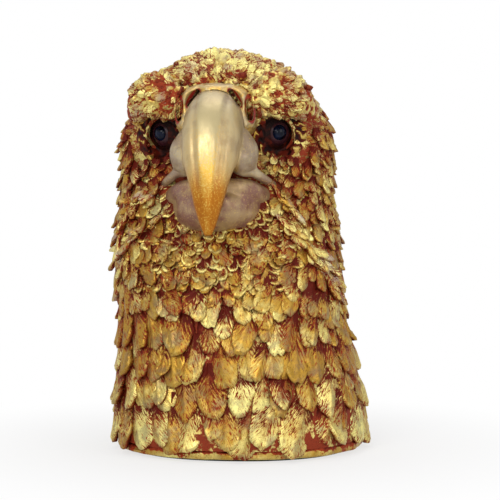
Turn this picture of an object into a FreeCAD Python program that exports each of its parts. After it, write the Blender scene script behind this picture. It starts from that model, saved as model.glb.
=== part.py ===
"""Eagle head bust: a hollow bronze casting in sections, gilded over a red ground.

The bust stands on a felt pad and a closing plate. A neck casting and a head casting meet at a pinned
sleeve joint. Brows, cere and the two halves of the beak are castings of their own, the eyes are balls
with glass lenses set in cups, and the plumage is chased feathers laid in overlapping courses.
+Z is up, the eagle faces -Y, and its own left side is +X. Lengths are in millimetres.
"""
import FreeCAD
import Part
import math
import os
import random
from FreeCAD import Matrix, Placement, Rotation, Vector

# Overall sizes of the ground surface that carries the feathers
BODY_HEIGHT = 285.0       # from the underside of the pad to the top of the skull
BODY_HALF_WIDTH = 89.0    # at the foot of the neck
BODY_FRONT = 88.0         # from the axis to the breast
BODY_BACK = 86.0          # from the axis to the nape
FOOT_SHIFT = 10.5         # how far the foot stands to the eagle's left of its head
STRAIGHT_SHARE = 0.60     # share of the height above which the neck no longer leans
# Outline of the ground: share of height, then shares of half width, front depth and back depth
OUTLINE = [
    (0.000, 0.978, 1.000, 1.000),
    (0.105, 0.995, 1.000, 1.000),
    (0.182, 0.962, 0.980, 0.990),
    (0.267, 0.912, 0.960, 0.965),
    (0.351, 0.885, 0.920, 0.945),
    (0.481, 0.890, 0.850, 0.930),
    (0.572, 0.863, 0.745, 0.930),
    (0.667, 0.830, 0.640, 0.930),
    (0.758, 0.846, 0.600, 0.920),
    (0.821, 0.808, 0.625, 0.875),
    (0.877, 0.709, 0.650, 0.790),
    (0.919, 0.604, 0.610, 0.690),
    (0.951, 0.489, 0.520, 0.570),
    (0.975, 0.352, 0.410, 0.430),
    (0.993, 0.176, 0.250, 0.260),
    (1.000, 0.077, 0.120, 0.120),
]
SQUARENESS = 2.2          # exponent of the plan outline, 2 being an ellipse
OUTLINE_POINTS = 48       # points of each plan outline
SEAM_LINE_ANGLE = 172.5   # where each plan outline starts and ends, out of the way at the back

WALL = 4.0                # casting wall
FIT = 0.15                # clearance of pieces that slide together on assembly

PAD_THICKNESS = 2.0
PAD_MARGIN = 7.0          # pad's edge, inside the plate's edge
PLATE_THICKNESS = 6.0
PLATE_LIP = 1.5           # plate's edge, outside the foot of the neck

SCREW_RADIUS = 2.5
SCREW_HEAD_RADIUS = 5.0
SCREW_HEAD_DEPTH = 2.5
SCREW_LENGTH = 16.0
SCREW_DRIVE_WIDTH = 1.0
SCREW_DRIVE_DEPTH = 1.2
LUG_WIDTH = 16.0
LUG_HEIGHT = 12.0
LUG_REACH = 15.0          # how far a lug stands in from the wall
LUG_SCREW_INSET = 8.0     # screw's axis from the wall's inner face
LUG_ANGLES = (45.0, 135.0, 225.0, 315.0)

SEAM_SHARE = 0.515        # height of the joint between neck and head
SLEEVE_DEPTH = 13.0       # sleeve's reach into each casting
SLEEVE_WALL = 3.0
PIN_RADIUS = 2.0
PIN_COUNT = 8
PIN_SET_BACK = 0.5        # pin's outer end below the surface
PIN_PAST_SLEEVE = 1.5     # pin's inner end beyond the sleeve
PIN_START = 11.0          # degrees from the front to the first pin

EYE_X = 37.5
EYE_FRONT = 35.0          # eye's centre in front of the axis
EYE_SHARE = 0.788         # height of the eyes
EYE_RADIUS = 11.0
EYE_TURN = 30.0           # degrees that the gaze turns outwards
EYE_TILT = 6.0            # degrees that the gaze tilts down
CUP_WALL = 2.4
CUP_MOUTH = 1.6           # cup's rim behind the ball's centre
IRIS_RADIUS = 5.4
IRIS_SEAT_DEPTH = 2.4     # lens seat below the ball's surface
IRIS_DOME = 0.9           # lens's crown above the ball's surface
EYELID_THICKNESS = 1.8
EYELID_SPREAD = 8.4       # radius of the lid's opening circle

SOCKET_RADII = (15.5, 20.0, 17.0)
SOCKET_X = 40.0
SOCKET_FRONT = 52.0       # socket's centre in front of the axis
SOCKET_DROP = 6.0         # socket's centre below the eyes

# Bent pieces of the left side: x, forward, up, half height, half depth
BROW_STATIONS = [         # up from the eyes
    (6.0, 57.0, 38.0, 5.0, 5.0),
    (26.0, 58.5, 22.0, 14.0, 10.5),
    (43.0, 55.0, 25.0, 15.5, 12.5),
    (58.0, 46.0, 20.5, 13.0, 12.0),
    (69.0, 33.0, 15.0, 9.0, 9.0),
    (74.5, 20.0, 11.5, 5.5, 5.5),
    (73.0, 6.0, 9.0, 2.5, 3.0),
]
GAPE_STATIONS = [         # up from the mouth line
    (17.0, 76.0, 9.0, 6.0, 6.0),
    (27.0, 66.0, 4.5, 5.5, 5.5),
    (36.0, 53.0, -1.5, 4.2, 4.6),
    (42.0, 40.0, -5.0, 3.0, 3.6),
]

BEAK_SHARE = 0.667        # height of the mouth line at the beak's root
BEAK_STATIONS = [         # culmen: forward, up from the mouth line; underside: forward, up; half width
    (46.0, 63.0, 46.0, 8.0, 21.0),
    (66.0, 62.5, 62.0, 5.0, 21.0),
    (84.0, 56.0, 72.0, 3.0, 20.6),
    (98.0, 43.5, 82.0, 1.0, 19.5),
    (106.0, 27.0, 89.0, -2.0, 17.5),
    (109.5, 9.0, 93.5, -8.0, 14.2),
    (109.5, -9.0, 96.5, -18.0, 10.6),
    (107.0, -25.0, 99.0, -29.5, 6.6),
    (104.0, -37.5, 101.5, -39.0, 2.6),
]
BEAK_FULLNESS = 2.3       # exponents of the cross-sections, 2 being an ellipse
CERE_FULLNESS = 2.6
JAW_FULLNESS = 2.4
LOBE_RADII = (10.0, 16.0, 11.5)
LOBE_PLACE = (19.0, 72.0, 14.0)   # x, forward, up from the mouth line

CERE_STATIONS = [         # forward, up from the mouth line to the crown, to the foot, half width
    (50.0, 66.0, 26.0, 28.0),
    (60.0, 66.5, 24.0, 28.5),
    (68.0, 65.0, 26.0, 27.5),
    (75.0, 62.0, 30.0, 25.0),
]
NOSTRIL_RADIUS = 1.5
NOSTRIL_LENGTH = 11.0
NOSTRIL_X = 14.3
NOSTRIL_UP = 55.0         # above the mouth line
NOSTRIL_LEAN = 34.0       # degrees from the vertical
SIDE_HOLE_RADIUS = 2.2
SIDE_HOLE_LENGTH = 11.0
SIDE_HOLE_X = 24.3
SIDE_HOLE_UP = 47.0
SLOT_FRONT = 80.0         # forward end of the nostril cutters
SLOT_DEPTH = 28.0

JAW_STATIONS = [          # forward, up from the mouth line to the top, to the foot, half width
    (42.0, -5.0, -38.0, 36.0),
    (54.0, -4.0, -38.5, 33.0),
    (66.0, -4.5, -37.0, 27.5),
    (78.0, -7.0, -32.0, 20.0),
    (88.0, -11.0, -22.5, 10.0),
]
MOUTH_GAP = 1.2           # opening between the two halves of the beak

STUD_RADIUS = 4.0
STUD_IN_BEAK = 14.0
STUD_IN_HEAD = 16.0       # stud's length behind the face wall
STUD_RISE = 36.0          # stud's axis above the mouth line
WASHER_RADIUS = 8.0
WASHER_THICKNESS = 1.6
WASHER_SEAT = 1.0         # washer stands this far in from the deepest point of the curved wall
NUT_WIDTH = 13.0          # across flats
NUT_THICKNESS = 6.5
DOWEL_RADIUS = 2.5
DOWEL_LENGTH = 18.0
DOWEL_X = 14.0
DOWEL_DROP = 20.0         # dowels below the mouth line
DOWEL_FRONT = 60.0        # dowels' middle in front of the axis

# Feather courses: name, share of height at the roots, feathers round a full ring, length, first angle
COURSES = [
    ("neck_feathers_1", 0.161, 30, 36.0, 0.0),
    ("neck_feathers_2", 0.232, 30, 36.0, 0.0),
    ("neck_feathers_3", 0.302, 31, 34.0, 0.0),
    ("neck_feathers_4", 0.368, 33, 32.0, 0.0),
    ("neck_feathers_5", 0.428, 36, 29.0, 0.0),
    ("neck_feathers_6", 0.483, 39, 26.0, 0.0),
    ("neck_feathers_7", 0.533, 42, 24.0, 0.0),
    ("neck_feathers_8", 0.582, 44, 22.0, 34.0),
    ("head_feathers_1", 0.630, 46, 21.0, 37.0),
    ("head_feathers_2", 0.676, 46, 20.0, 38.0),
    ("head_feathers_3", 0.720, 46, 19.0, 52.0),
    ("head_feathers_4", 0.762, 46, 18.0, 53.0),
    ("head_feathers_5", 0.802, 46, 17.0, 59.0),
    ("head_feathers_6", 0.842, 44, 16.0, 86.0),
]
FIRST_PITCH = 0.050       # share of height from the first course's roots down to the next, were there one
CHEEK_ROWS = [            # share of height, feathers, length, width, first and last angle of the left side
    (0.722, 3, 13.0, 7.6, 28.0, 44.0),
    (0.693, 2, 12.0, 7.0, 27.0, 34.0),
]
CHEEK_PITCH = 0.029       # share of height between the cheek rows
CHEEK_SPLAY = 5.0         # degrees round the head that a cheek feather's tip stands out from its root
FEATHER_ROOT = 0.60       # root's width, as a share of the feather's
FEATHER_SHOULDER = 0.62   # widest place, as a share of the length from the root
FEATHER_FLANK = (0.43, 0.26)      # half width and distance from the root where the flank's arc passes
FEATHER_THICKNESS = 1.3
FEATHER_GAP = 0.4         # gap between a feather and the course below it
FEATHER_SEAT = 0.3        # gap under a feather's root
FEATHER_RIB = 0.8         # radius of the shaft on a feather's face
FEATHER_RIB_TIP = 0.3
FEATHER_RIB_REACH = 0.86  # shaft's length, as a share of the feather's
FEATHER_SWAY = 2.5        # largest turn of one feather, in degrees
FEATHER_COVER = 0.93      # feather's width as a share of its place in the ring
CROWN_TILT = 6.0          # degrees that a crown feather leans away from the ground
RIBBED_LENGTH = 25.0      # feathers longer than this have a raised shaft
CURL_RADIUS = 60.0        # radius to which a feather is curled across its width
CROWN_ROWS = [            # name, share of height, feathers round a full ring, first angle
    ("crown_feathers_1", 0.876, 40, 82.0),
    ("crown_feathers_2", 0.906, 36, 75.0),
    ("crown_feathers_3", 0.933, 30, 0.0),
    ("crown_feathers_4", 0.956, 24, 0.0),
    ("crown_feathers_5", 0.975, 17, 0.0),
    ("crown_feathers_6", 0.990, 9, 0.0),
]
CROWN_FEATHER = (13.0, 7.6)       # length and width
CROWN_FLOW = (0.35, 1.0, -0.5)    # way the crown's feathers lie: outwards at the sides, back, up

SCREW_GRIP = 0.1          # gap round a screw's shank in the plate


# ---------------------------------------------------------------- ground surface

def hermite(share, column):
    """Smooth value of one column of the outline at a share of the height."""
    share = min(max(share, OUTLINE[0][0]), OUTLINE[-1][0])
    last = len(OUTLINE) - 1
    index = 0
    while index < last - 1 and share > OUTLINE[index + 1][0]:
        index += 1

    def slope(i):
        low, high = max(i - 1, 0), min(i + 1, last)
        return (OUTLINE[high][column] - OUTLINE[low][column]) / (OUTLINE[high][0] - OUTLINE[low][0])

    start, end = OUTLINE[index], OUTLINE[index + 1]
    step = end[0] - start[0]
    t = (share - start[0]) / step
    return (
        start[column] * (2 * t**3 - 3 * t**2 + 1)
        + slope(index) * step * (t**3 - 2 * t**2 + t)
        + end[column] * (3 * t**2 - 2 * t**3)
        + slope(index + 1) * step * (t**3 - t**2)
    )


def signed_power(value, exponent):
    return math.copysign(abs(value) ** exponent, value)


def lean(share):
    """Sideways shift of the neck's axis from the head's at a share of the height."""
    t = min(max(share / STRAIGHT_SHARE, 0.0), 1.0)
    return FOOT_SHIFT * (1 - t * t * (3 - 2 * t))


def ground(share, degrees, inset=0.0):
    """Point of the ground at a share of the height. Angle 0 is the front and 90 the eagle's left."""
    angle = math.radians(degrees)
    half_width = max(hermite(share, 1) * BODY_HALF_WIDTH - inset, 1.0)
    depth = hermite(share, 2) * BODY_FRONT if math.cos(angle) > 0 else hermite(share, 3) * BODY_BACK
    depth = max(depth - inset, 1.0)
    x = half_width * signed_power(math.sin(angle), 2 / SQUARENESS)
    y = -depth * signed_power(math.cos(angle), 2 / SQUARENESS)
    return Vector(x + lean(share), y, share * BODY_HEIGHT)


def even_angles(share, count, phase):
    """Angles that divide the outline at a share of the height into equal lengths, and that length."""
    steps = 720
    angles = [360.0 * i / steps for i in range(steps + 1)]
    points = [ground(share, angle) for angle in angles]
    run = [0.0]
    for before, after in zip(points, points[1:]):
        run.append(run[-1] + (after - before).Length)
    spacing = run[-1] / count
    made = []
    index = 0
    for i in range(count):
        goal = (i + phase) * spacing
        while run[index + 1] < goal:
            index += 1
        t = (goal - run[index]) / (run[index + 1] - run[index])
        made.append(angles[index] + t * (angles[index + 1] - angles[index]))
    return made, spacing


def normal(share, degrees):
    """Outward normal of the ground."""
    step, turn = 0.004, 1.0
    up = ground(min(share + step, 1.0), degrees) - ground(share - step, degrees)
    round_way = ground(share, degrees + turn) - ground(share, degrees - turn)
    return round_way.cross(up).normalize()


def plan_wire(share, inset, height=None):
    """Closed plan outline of the ground at a share of the height, or that outline at another height."""
    step = 360.0 / OUTLINE_POINTS
    points = [ground(share, SEAM_LINE_ANGLE + step * i, inset) for i in range(OUTLINE_POINTS)]
    if height is not None:
        points = [Vector(p.x, p.y, height) for p in points]
    curve = Part.BSplineCurve()
    curve.interpolate(Points=points, PeriodicFlag=True)
    return Part.Wire([curve.toShape()])


def ground_solid(inset, top_share=1.0):
    """Solid inside the ground surface, inset by a wall, from below the plate to the skull."""
    shares = [row[0] for row in OUTLINE if row[0] < top_share] + [top_share]
    return Part.makeLoft([plan_wire(s, inset) for s in shares], True, False)


def between(shape, low, high):
    """The part of a shape between two heights."""
    reach = 4 * BODY_HALF_WIDTH
    slab = Part.makeBox(reach, reach, high - low, Vector(-reach / 2, -reach / 2, low))
    return shape.common(slab)


def ellipsoid(centre, radii):
    ball = Part.makeSphere(1.0)
    squeeze = Matrix()
    squeeze.scale(*radii)
    stretched = ball.transformGeometry(squeeze)
    stretched.translate(centre)
    return stretched


def mirrored(shape):
    """The same piece for the eagle's other side."""
    return shape.mirror(Vector(0, 0, 0), Vector(1, 0, 0))


# ---------------------------------------------------------------- heights shared by several pieces

FOOT = PAD_THICKNESS + PLATE_THICKNESS
SEAM = SEAM_SHARE * BODY_HEIGHT
MOUTH = BEAK_SHARE * BODY_HEIGHT
EYE_HEIGHT = EYE_SHARE * BODY_HEIGHT
EYE = Vector(EYE_X, -EYE_FRONT, EYE_HEIGHT)
SOCKET = Vector(SOCKET_X, -SOCKET_FRONT, EYE_HEIGHT - SOCKET_DROP)
INNER_TOP_SHARE = 0.983


def gaze():
    """Direction in which the left eye looks."""
    turn, tilt = math.radians(EYE_TURN), math.radians(EYE_TILT)
    return Vector(math.sin(turn) * math.cos(tilt), -math.cos(turn) * math.cos(tilt), -math.sin(tilt))


def along(shape, place, direction):
    """A shape built up the Z axis from the origin, turned to a direction and moved to a place."""
    shape = shape.copy()
    shape.Placement = Placement(place, Rotation(Vector(0, 0, 1), direction))
    return shape


# ---------------------------------------------------------------- base

def pad():
    wire = plan_wire(FOOT / BODY_HEIGHT, PAD_MARGIN, 0.0)
    return Part.Face(wire).extrude(Vector(0, 0, PAD_THICKNESS))


def lug_axis(degrees):
    """Plan place of a base screw."""
    point = ground(FOOT / BODY_HEIGHT, degrees, WALL + LUG_SCREW_INSET)
    return Vector(point.x, point.y, 0)


def screw_cutter(radius, length):
    """Countersunk screw's outline, head down at the plate's underside."""
    head = Part.makeCone(SCREW_HEAD_RADIUS, radius, SCREW_HEAD_DEPTH)
    return head.fuse(Part.makeCylinder(radius, length)).removeSplitter()


def screws():
    made = []
    for degrees in LUG_ANGLES:
        screw = screw_cutter(SCREW_RADIUS, SCREW_LENGTH)
        slot = Part.makeBox(
            2 * SCREW_HEAD_RADIUS, SCREW_DRIVE_WIDTH, SCREW_DRIVE_DEPTH,
            Vector(-SCREW_HEAD_RADIUS, -SCREW_DRIVE_WIDTH / 2, 0),
        )
        screw = screw.cut(slot)
        screw.translate(lug_axis(degrees) + Vector(0, 0, PAD_THICKNESS))
        made.append(screw)
    return made


def plate():
    wire = plan_wire(FOOT / BODY_HEIGHT, -PLATE_LIP, PAD_THICKNESS)
    body = Part.Face(wire).extrude(Vector(0, 0, PLATE_THICKNESS))
    for degrees in LUG_ANGLES:
        hole = screw_cutter(SCREW_RADIUS + SCREW_GRIP, SCREW_LENGTH)
        hole.translate(lug_axis(degrees) + Vector(0, 0, PAD_THICKNESS))
        body = body.cut(hole)
    return body


def lugs(cavity):
    """Tapped blocks brazed to the inner wall, each shaped to it."""
    made = []
    for degrees in LUG_ANGLES:
        wall = ground(FOOT / BODY_HEIGHT, degrees)
        direction = normal(FOOT / BODY_HEIGHT, degrees)
        direction = Vector(direction.x, direction.y, 0).normalize()
        depth = WALL + LUG_REACH
        block = Part.makeBox(depth, LUG_WIDTH, LUG_HEIGHT, Vector(-depth, -LUG_WIDTH / 2, 0))
        turn = Rotation(Vector(1, 0, 0), direction)
        block.Placement = Placement(Vector(wall.x, wall.y, FOOT), turn)
        hole = Part.makeCylinder(SCREW_RADIUS, SCREW_LENGTH)
        hole.translate(lug_axis(degrees) + Vector(0, 0, PAD_THICKNESS))
        made.append(block.common(cavity).cut(hole))
    return made


# ---------------------------------------------------------------- castings

def pin_cutters():
    """Pins of the sleeve joint, one ring in the neck and one in the head."""
    made = []
    length = WALL + FIT + SLEEVE_WALL + PIN_PAST_SLEEVE - PIN_SET_BACK
    for ring, rise in enumerate((-SLEEVE_DEPTH / 2, SLEEVE_DEPTH / 2)):
        for i in range(PIN_COUNT):
            degrees = 360.0 * (i + 0.5 * ring) / PIN_COUNT + PIN_START
            share = (SEAM + rise) / BODY_HEIGHT
            direction = normal(share, degrees)
            flat = Vector(direction.x, direction.y, 0).normalize()
            start = ground(share, degrees) - flat * (PIN_SET_BACK + length)
            made.append(along(Part.makeCylinder(PIN_RADIUS, length), start, flat))
    return made


def sleeve():
    low, high = SEAM - SLEEVE_DEPTH, SEAM + SLEEVE_DEPTH
    outer = between(ground_solid(WALL + FIT, INNER_TOP_SHARE), low, high)
    inner = ground_solid(WALL + FIT + SLEEVE_WALL, INNER_TOP_SHARE)
    return outer.cut(inner)


def sockets(grow=0.0):
    left = ellipsoid(SOCKET, [radius + grow for radius in SOCKET_RADII])
    return [left, mirrored(left)]


def eye_balls(radius):
    left = Part.makeSphere(radius, EYE)
    return [left, mirrored(left)]


def tube(radius, start, end):
    way = end - start
    return along(Part.makeCylinder(radius, way.Length), start, way)


# ---------------------------------------------------------------- face

def upright_oval(centre, up, side, half_up, half_side, fullness, points=28):
    """Closed smooth oval in the plane of two directions."""
    made = []
    for i in range(points):
        angle = 2 * math.pi * i / points
        made.append(
            centre
            + up * (half_up * signed_power(math.cos(angle), 2 / fullness))
            + side * (half_side * signed_power(math.sin(angle), 2 / fullness))
        )
    curve = Part.BSplineCurve()
    curve.interpolate(Points=made, PeriodicFlag=True)
    return Part.Wire([curve.toShape()])


def beak_body():
    wires = []
    for top_out, top_up, low_out, low_up, half_width in BEAK_STATIONS:
        top = Vector(0, -top_out, MOUTH + top_up)
        low = Vector(0, -low_out, MOUTH + low_up)
        up = (top - low).normalize()
        half_up = (top - low).Length / 2
        wires.append(upright_oval((top + low) / 2, up, Vector(1, 0, 0), half_up, half_width, BEAK_FULLNESS))
    return Part.makeLoft(wires, True, False)


def lobes():
    x, out, up = LOBE_PLACE
    left = ellipsoid(Vector(x, -out, MOUTH + up), LOBE_RADII)
    return [left, mirrored(left)]


def upright_loft(stations, fullness):
    """Loft of upright ovals, each given by forward distance, top, foot and half width."""
    wires = []
    for out, top, foot, half_width in stations:
        centre = Vector(0, -out, MOUTH + (top + foot) / 2)
        half_up = (top - foot) / 2
        wires.append(
            upright_oval(centre, Vector(0, 0, 1), Vector(1, 0, 0), half_up, half_width, fullness)
        )
    return Part.makeLoft(wires, True, False)


def slot_cutter(x, up, radius, length, lean):
    """Round-ended slot that runs back into the cere, leaning outwards at its foot."""
    half = length / 2
    depth = SLOT_DEPTH
    bar = Part.makeBox(2 * radius, depth, length, Vector(-radius, 0, -half))
    for end in (-half, half):
        bar = bar.fuse(Part.makeCylinder(radius, depth, Vector(0, 0, end), Vector(0, 1, 0)))
    bar = bar.removeSplitter()
    bar.rotate(Vector(0, 0, 0), Vector(0, 1, 0), lean)
    bar.translate(Vector(x, -SLOT_FRONT, MOUTH + up))
    return bar


def nostrils():
    """Cutters of the four openings in the cere."""
    inner = slot_cutter(NOSTRIL_X, NOSTRIL_UP, NOSTRIL_RADIUS, NOSTRIL_LENGTH, -NOSTRIL_LEAN)
    side = slot_cutter(SIDE_HOLE_X, SIDE_HOLE_UP, SIDE_HOLE_RADIUS, SIDE_HOLE_LENGTH, 0.0)
    return [inner, side, mirrored(inner), mirrored(side)]


def bent_loft(stations, height):
    """Loft of ovals strung along a bent line of the left side, each square to the line."""
    centres = [Vector(x, -out, height + up) for x, out, up, _, _ in stations]
    wires = []
    for i, (_, _, _, half_up, half_deep) in enumerate(stations):
        before, after = centres[max(i - 1, 0)], centres[min(i + 1, len(centres) - 1)]
        way = (after - before).normalize()
        up = (Vector(0, 0, 1) - way * way.z).normalize()
        wires.append(upright_oval(centres[i], up, way.cross(up), half_up, half_deep, 2.0))
    return Part.makeLoft(wires, True, False)


def largest(shape):
    """The main solid of a cut, without chips."""
    return max(shape.Solids, key=lambda solid: solid.Volume)


def stud_axis():
    """Start of the beak's stud inside the beak, and its end inside the head."""
    height = MOUTH + STUD_RISE
    wall = ground(height / BODY_HEIGHT, 0.0, WALL).y
    return Vector(0, wall - WALL - STUD_IN_BEAK, height), Vector(0, wall + STUD_IN_HEAD, height), wall


def hexagon(width, thickness):
    radius = width / math.sqrt(3)
    corners = [
        Vector(radius * math.cos(math.radians(60 * i)), radius * math.sin(math.radians(60 * i)), 0)
        for i in range(7)
    ]
    return Part.Face(Part.makePolygon(corners)).extrude(Vector(0, 0, thickness))


# ---------------------------------------------------------------- eyes

def eye_pieces():
    """Cup, ball, lens and lid of the left eye."""
    look = gaze()
    ball = Part.makeSphere(EYE_RADIUS, EYE)
    seat_centre = EYE + look * (EYE_RADIUS - IRIS_SEAT_DEPTH)
    seat = along(Part.makeCylinder(IRIS_RADIUS, EYE_RADIUS), seat_centre, look)
    rise = IRIS_SEAT_DEPTH + IRIS_DOME
    dome_radius = (IRIS_RADIUS**2 + rise**2) / (2 * rise)
    dome = Part.makeSphere(dome_radius, seat_centre + look * (rise - dome_radius))
    lens = dome.common(along(Part.makeCylinder(IRIS_RADIUS - FIT, EYE_RADIUS), seat_centre, look))
    cup = Part.makeSphere(EYE_RADIUS + CUP_WALL, EYE).cut(Part.makeSphere(EYE_RADIUS + FIT, EYE))
    opening = Part.makeCylinder(2 * EYE_RADIUS, 2 * EYE_RADIUS)
    cup = cup.cut(along(opening, EYE - look * CUP_MOUTH, look))
    lid_height = math.sqrt(EYE_RADIUS**2 - EYELID_SPREAD**2)
    lid = along(Part.makeTorus(EYELID_SPREAD, EYELID_THICKNESS), EYE + look * lid_height, look)
    lid = lid.cut(ball)
    return {"eye_cup": cup, "eyeball": ball.cut(seat), "iris": lens, "eyelid": lid}


# ---------------------------------------------------------------- feathers

def feather(length, width, ribbed):
    """One feather, root at the origin, lying down the -Z axis with its face towards +Y."""
    root, wide = FEATHER_ROOT * width / 2, width / 2
    shoulder = -FEATHER_SHOULDER * length
    flank, flank_height = FEATHER_FLANK[0] * width, -FEATHER_FLANK[1] * length
    tip = -length
    outline = [
        Part.Arc(Vector(-root, 0, 0), Vector(-flank, 0, flank_height), Vector(-wide, 0, shoulder)),
        Part.Arc(Vector(-wide, 0, shoulder), Vector(0, 0, tip), Vector(wide, 0, shoulder)),
        Part.Arc(Vector(wide, 0, shoulder), Vector(flank, 0, flank_height), Vector(root, 0, 0)),
        Part.LineSegment(Vector(root, 0, 0), Vector(-root, 0, 0)),
    ]
    face = Part.Face(Part.Wire([edge.toShape() for edge in outline]))
    reach = CURL_RADIUS
    blank = face.extrude(Vector(0, reach, 0))
    blank.translate(Vector(0, -reach / 2, 0))
    axis = Vector(0, -CURL_RADIUS, tip - width)
    tall = length + 3 * width
    curl = Part.makeCylinder(CURL_RADIUS + FEATHER_THICKNESS, tall, axis)
    curl = curl.cut(Part.makeCylinder(CURL_RADIUS, tall, axis))
    body = blank.common(curl)
    if ribbed:
        start, reach = Vector(0, FEATHER_THICKNESS, 0), FEATHER_RIB_REACH * length
        shaft = Part.makeCone(FEATHER_RIB, FEATHER_RIB_TIP, reach, start, Vector(0, 0, -1))
        body = body.fuse(shaft.common(blank)).removeSplitter()
    return body


def placed(master, root, out, way, sway):
    """A feather with its root at a point, its face looking out and its tip pointing along way."""
    way = way.normalize()
    out = (out - way * out.dot(way)).normalize()
    across = out.cross(-way)
    place = Placement(Matrix(
        across.x, out.x, -way.x, root.x,
        across.y, out.y, -way.y, root.y,
        across.z, out.z, -way.z, root.z,
        0, 0, 0, 1,
    ))
    made = master.copy()
    made.Placement = place.multiply(Placement(Vector(0, 0, 0), Rotation(Vector(0, 1, 0), sway)))
    return made


def hung(master, length, pitch, share, degrees, splay, sway):
    """A feather that hangs from a height, its tip clear of the course that starts a pitch lower."""
    lift = (FEATHER_THICKNESS + FEATHER_GAP) * length / (pitch * BODY_HEIGHT)
    out = normal(share, degrees)
    root = ground(share, degrees) + out * FEATHER_SEAT
    low = share - length / BODY_HEIGHT
    tip = ground(low, degrees + splay) + normal(low, degrees + splay) * (FEATHER_SEAT + lift)
    return placed(master, root, out, tip - root, sway)


def course(share, pitch, count, length, first, chance, phase):
    """One ring of feathers, left open over the face up to an angle each side of the front."""
    angles, spacing = even_angles(share, count, phase)
    master = feather(length, FEATHER_COVER * spacing, length > RIBBED_LENGTH)
    made = []
    for degrees in angles:
        if min(degrees, 360.0 - degrees) < first:
            continue
        sway = chance.uniform(-FEATHER_SWAY, FEATHER_SWAY)
        made.append(hung(master, length, pitch, share, degrees, 0.0, sway))
    return made


def cheek_rows():
    """Small feathers between the eye and the gape of the left side, sweeping outwards."""
    made = []
    for share, count, length, width, first, last in CHEEK_ROWS:
        master = feather(length, width, False)
        for i in range(count):
            degrees = first + (last - first) * i / (count - 1)
            made.append(hung(master, length, CHEEK_PITCH, share, degrees, CHEEK_SPLAY, 0.0))
    return made


def crown_row(share, count, first, chance, phase):
    """One row over the skull, lying back from the forehead."""
    length, width = CROWN_FEATHER
    master = feather(length, width, False)
    made = []
    for degrees in even_angles(share, count, phase)[0]:
        if min(degrees, 360.0 - degrees) < first:
            continue
        sway = chance.uniform(-FEATHER_SWAY, FEATHER_SWAY)
        out = normal(share, degrees)
        flow = Vector(CROWN_FLOW[0] * math.sin(math.radians(degrees)), CROWN_FLOW[1], CROWN_FLOW[2])
        flow = (flow - out * flow.dot(out)).normalize()
        root = ground(share, degrees) + out * FEATHER_SEAT
        made.append(placed(master, root, out, flow + out * math.tan(math.radians(CROWN_TILT)), sway))
    return made


# ---------------------------------------------------------------- assembly

def write(name, shapes):
    shapes = shapes if isinstance(shapes, list) else [shapes]
    solids = [solid for shape in shapes for solid in shape.Solids]
    for solid in solids:
        solid.translate(Vector(-FOOT_SHIFT, 0, 0))
    whole = solids[0] if len(solids) == 1 else Part.makeCompound(solids)
    whole.exportStep(os.path.join("parts", name + ".step"))
    print(name, len(solids), round(sum(s.Volume for s in solids)), all(s.isValid() for s in solids))


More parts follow.
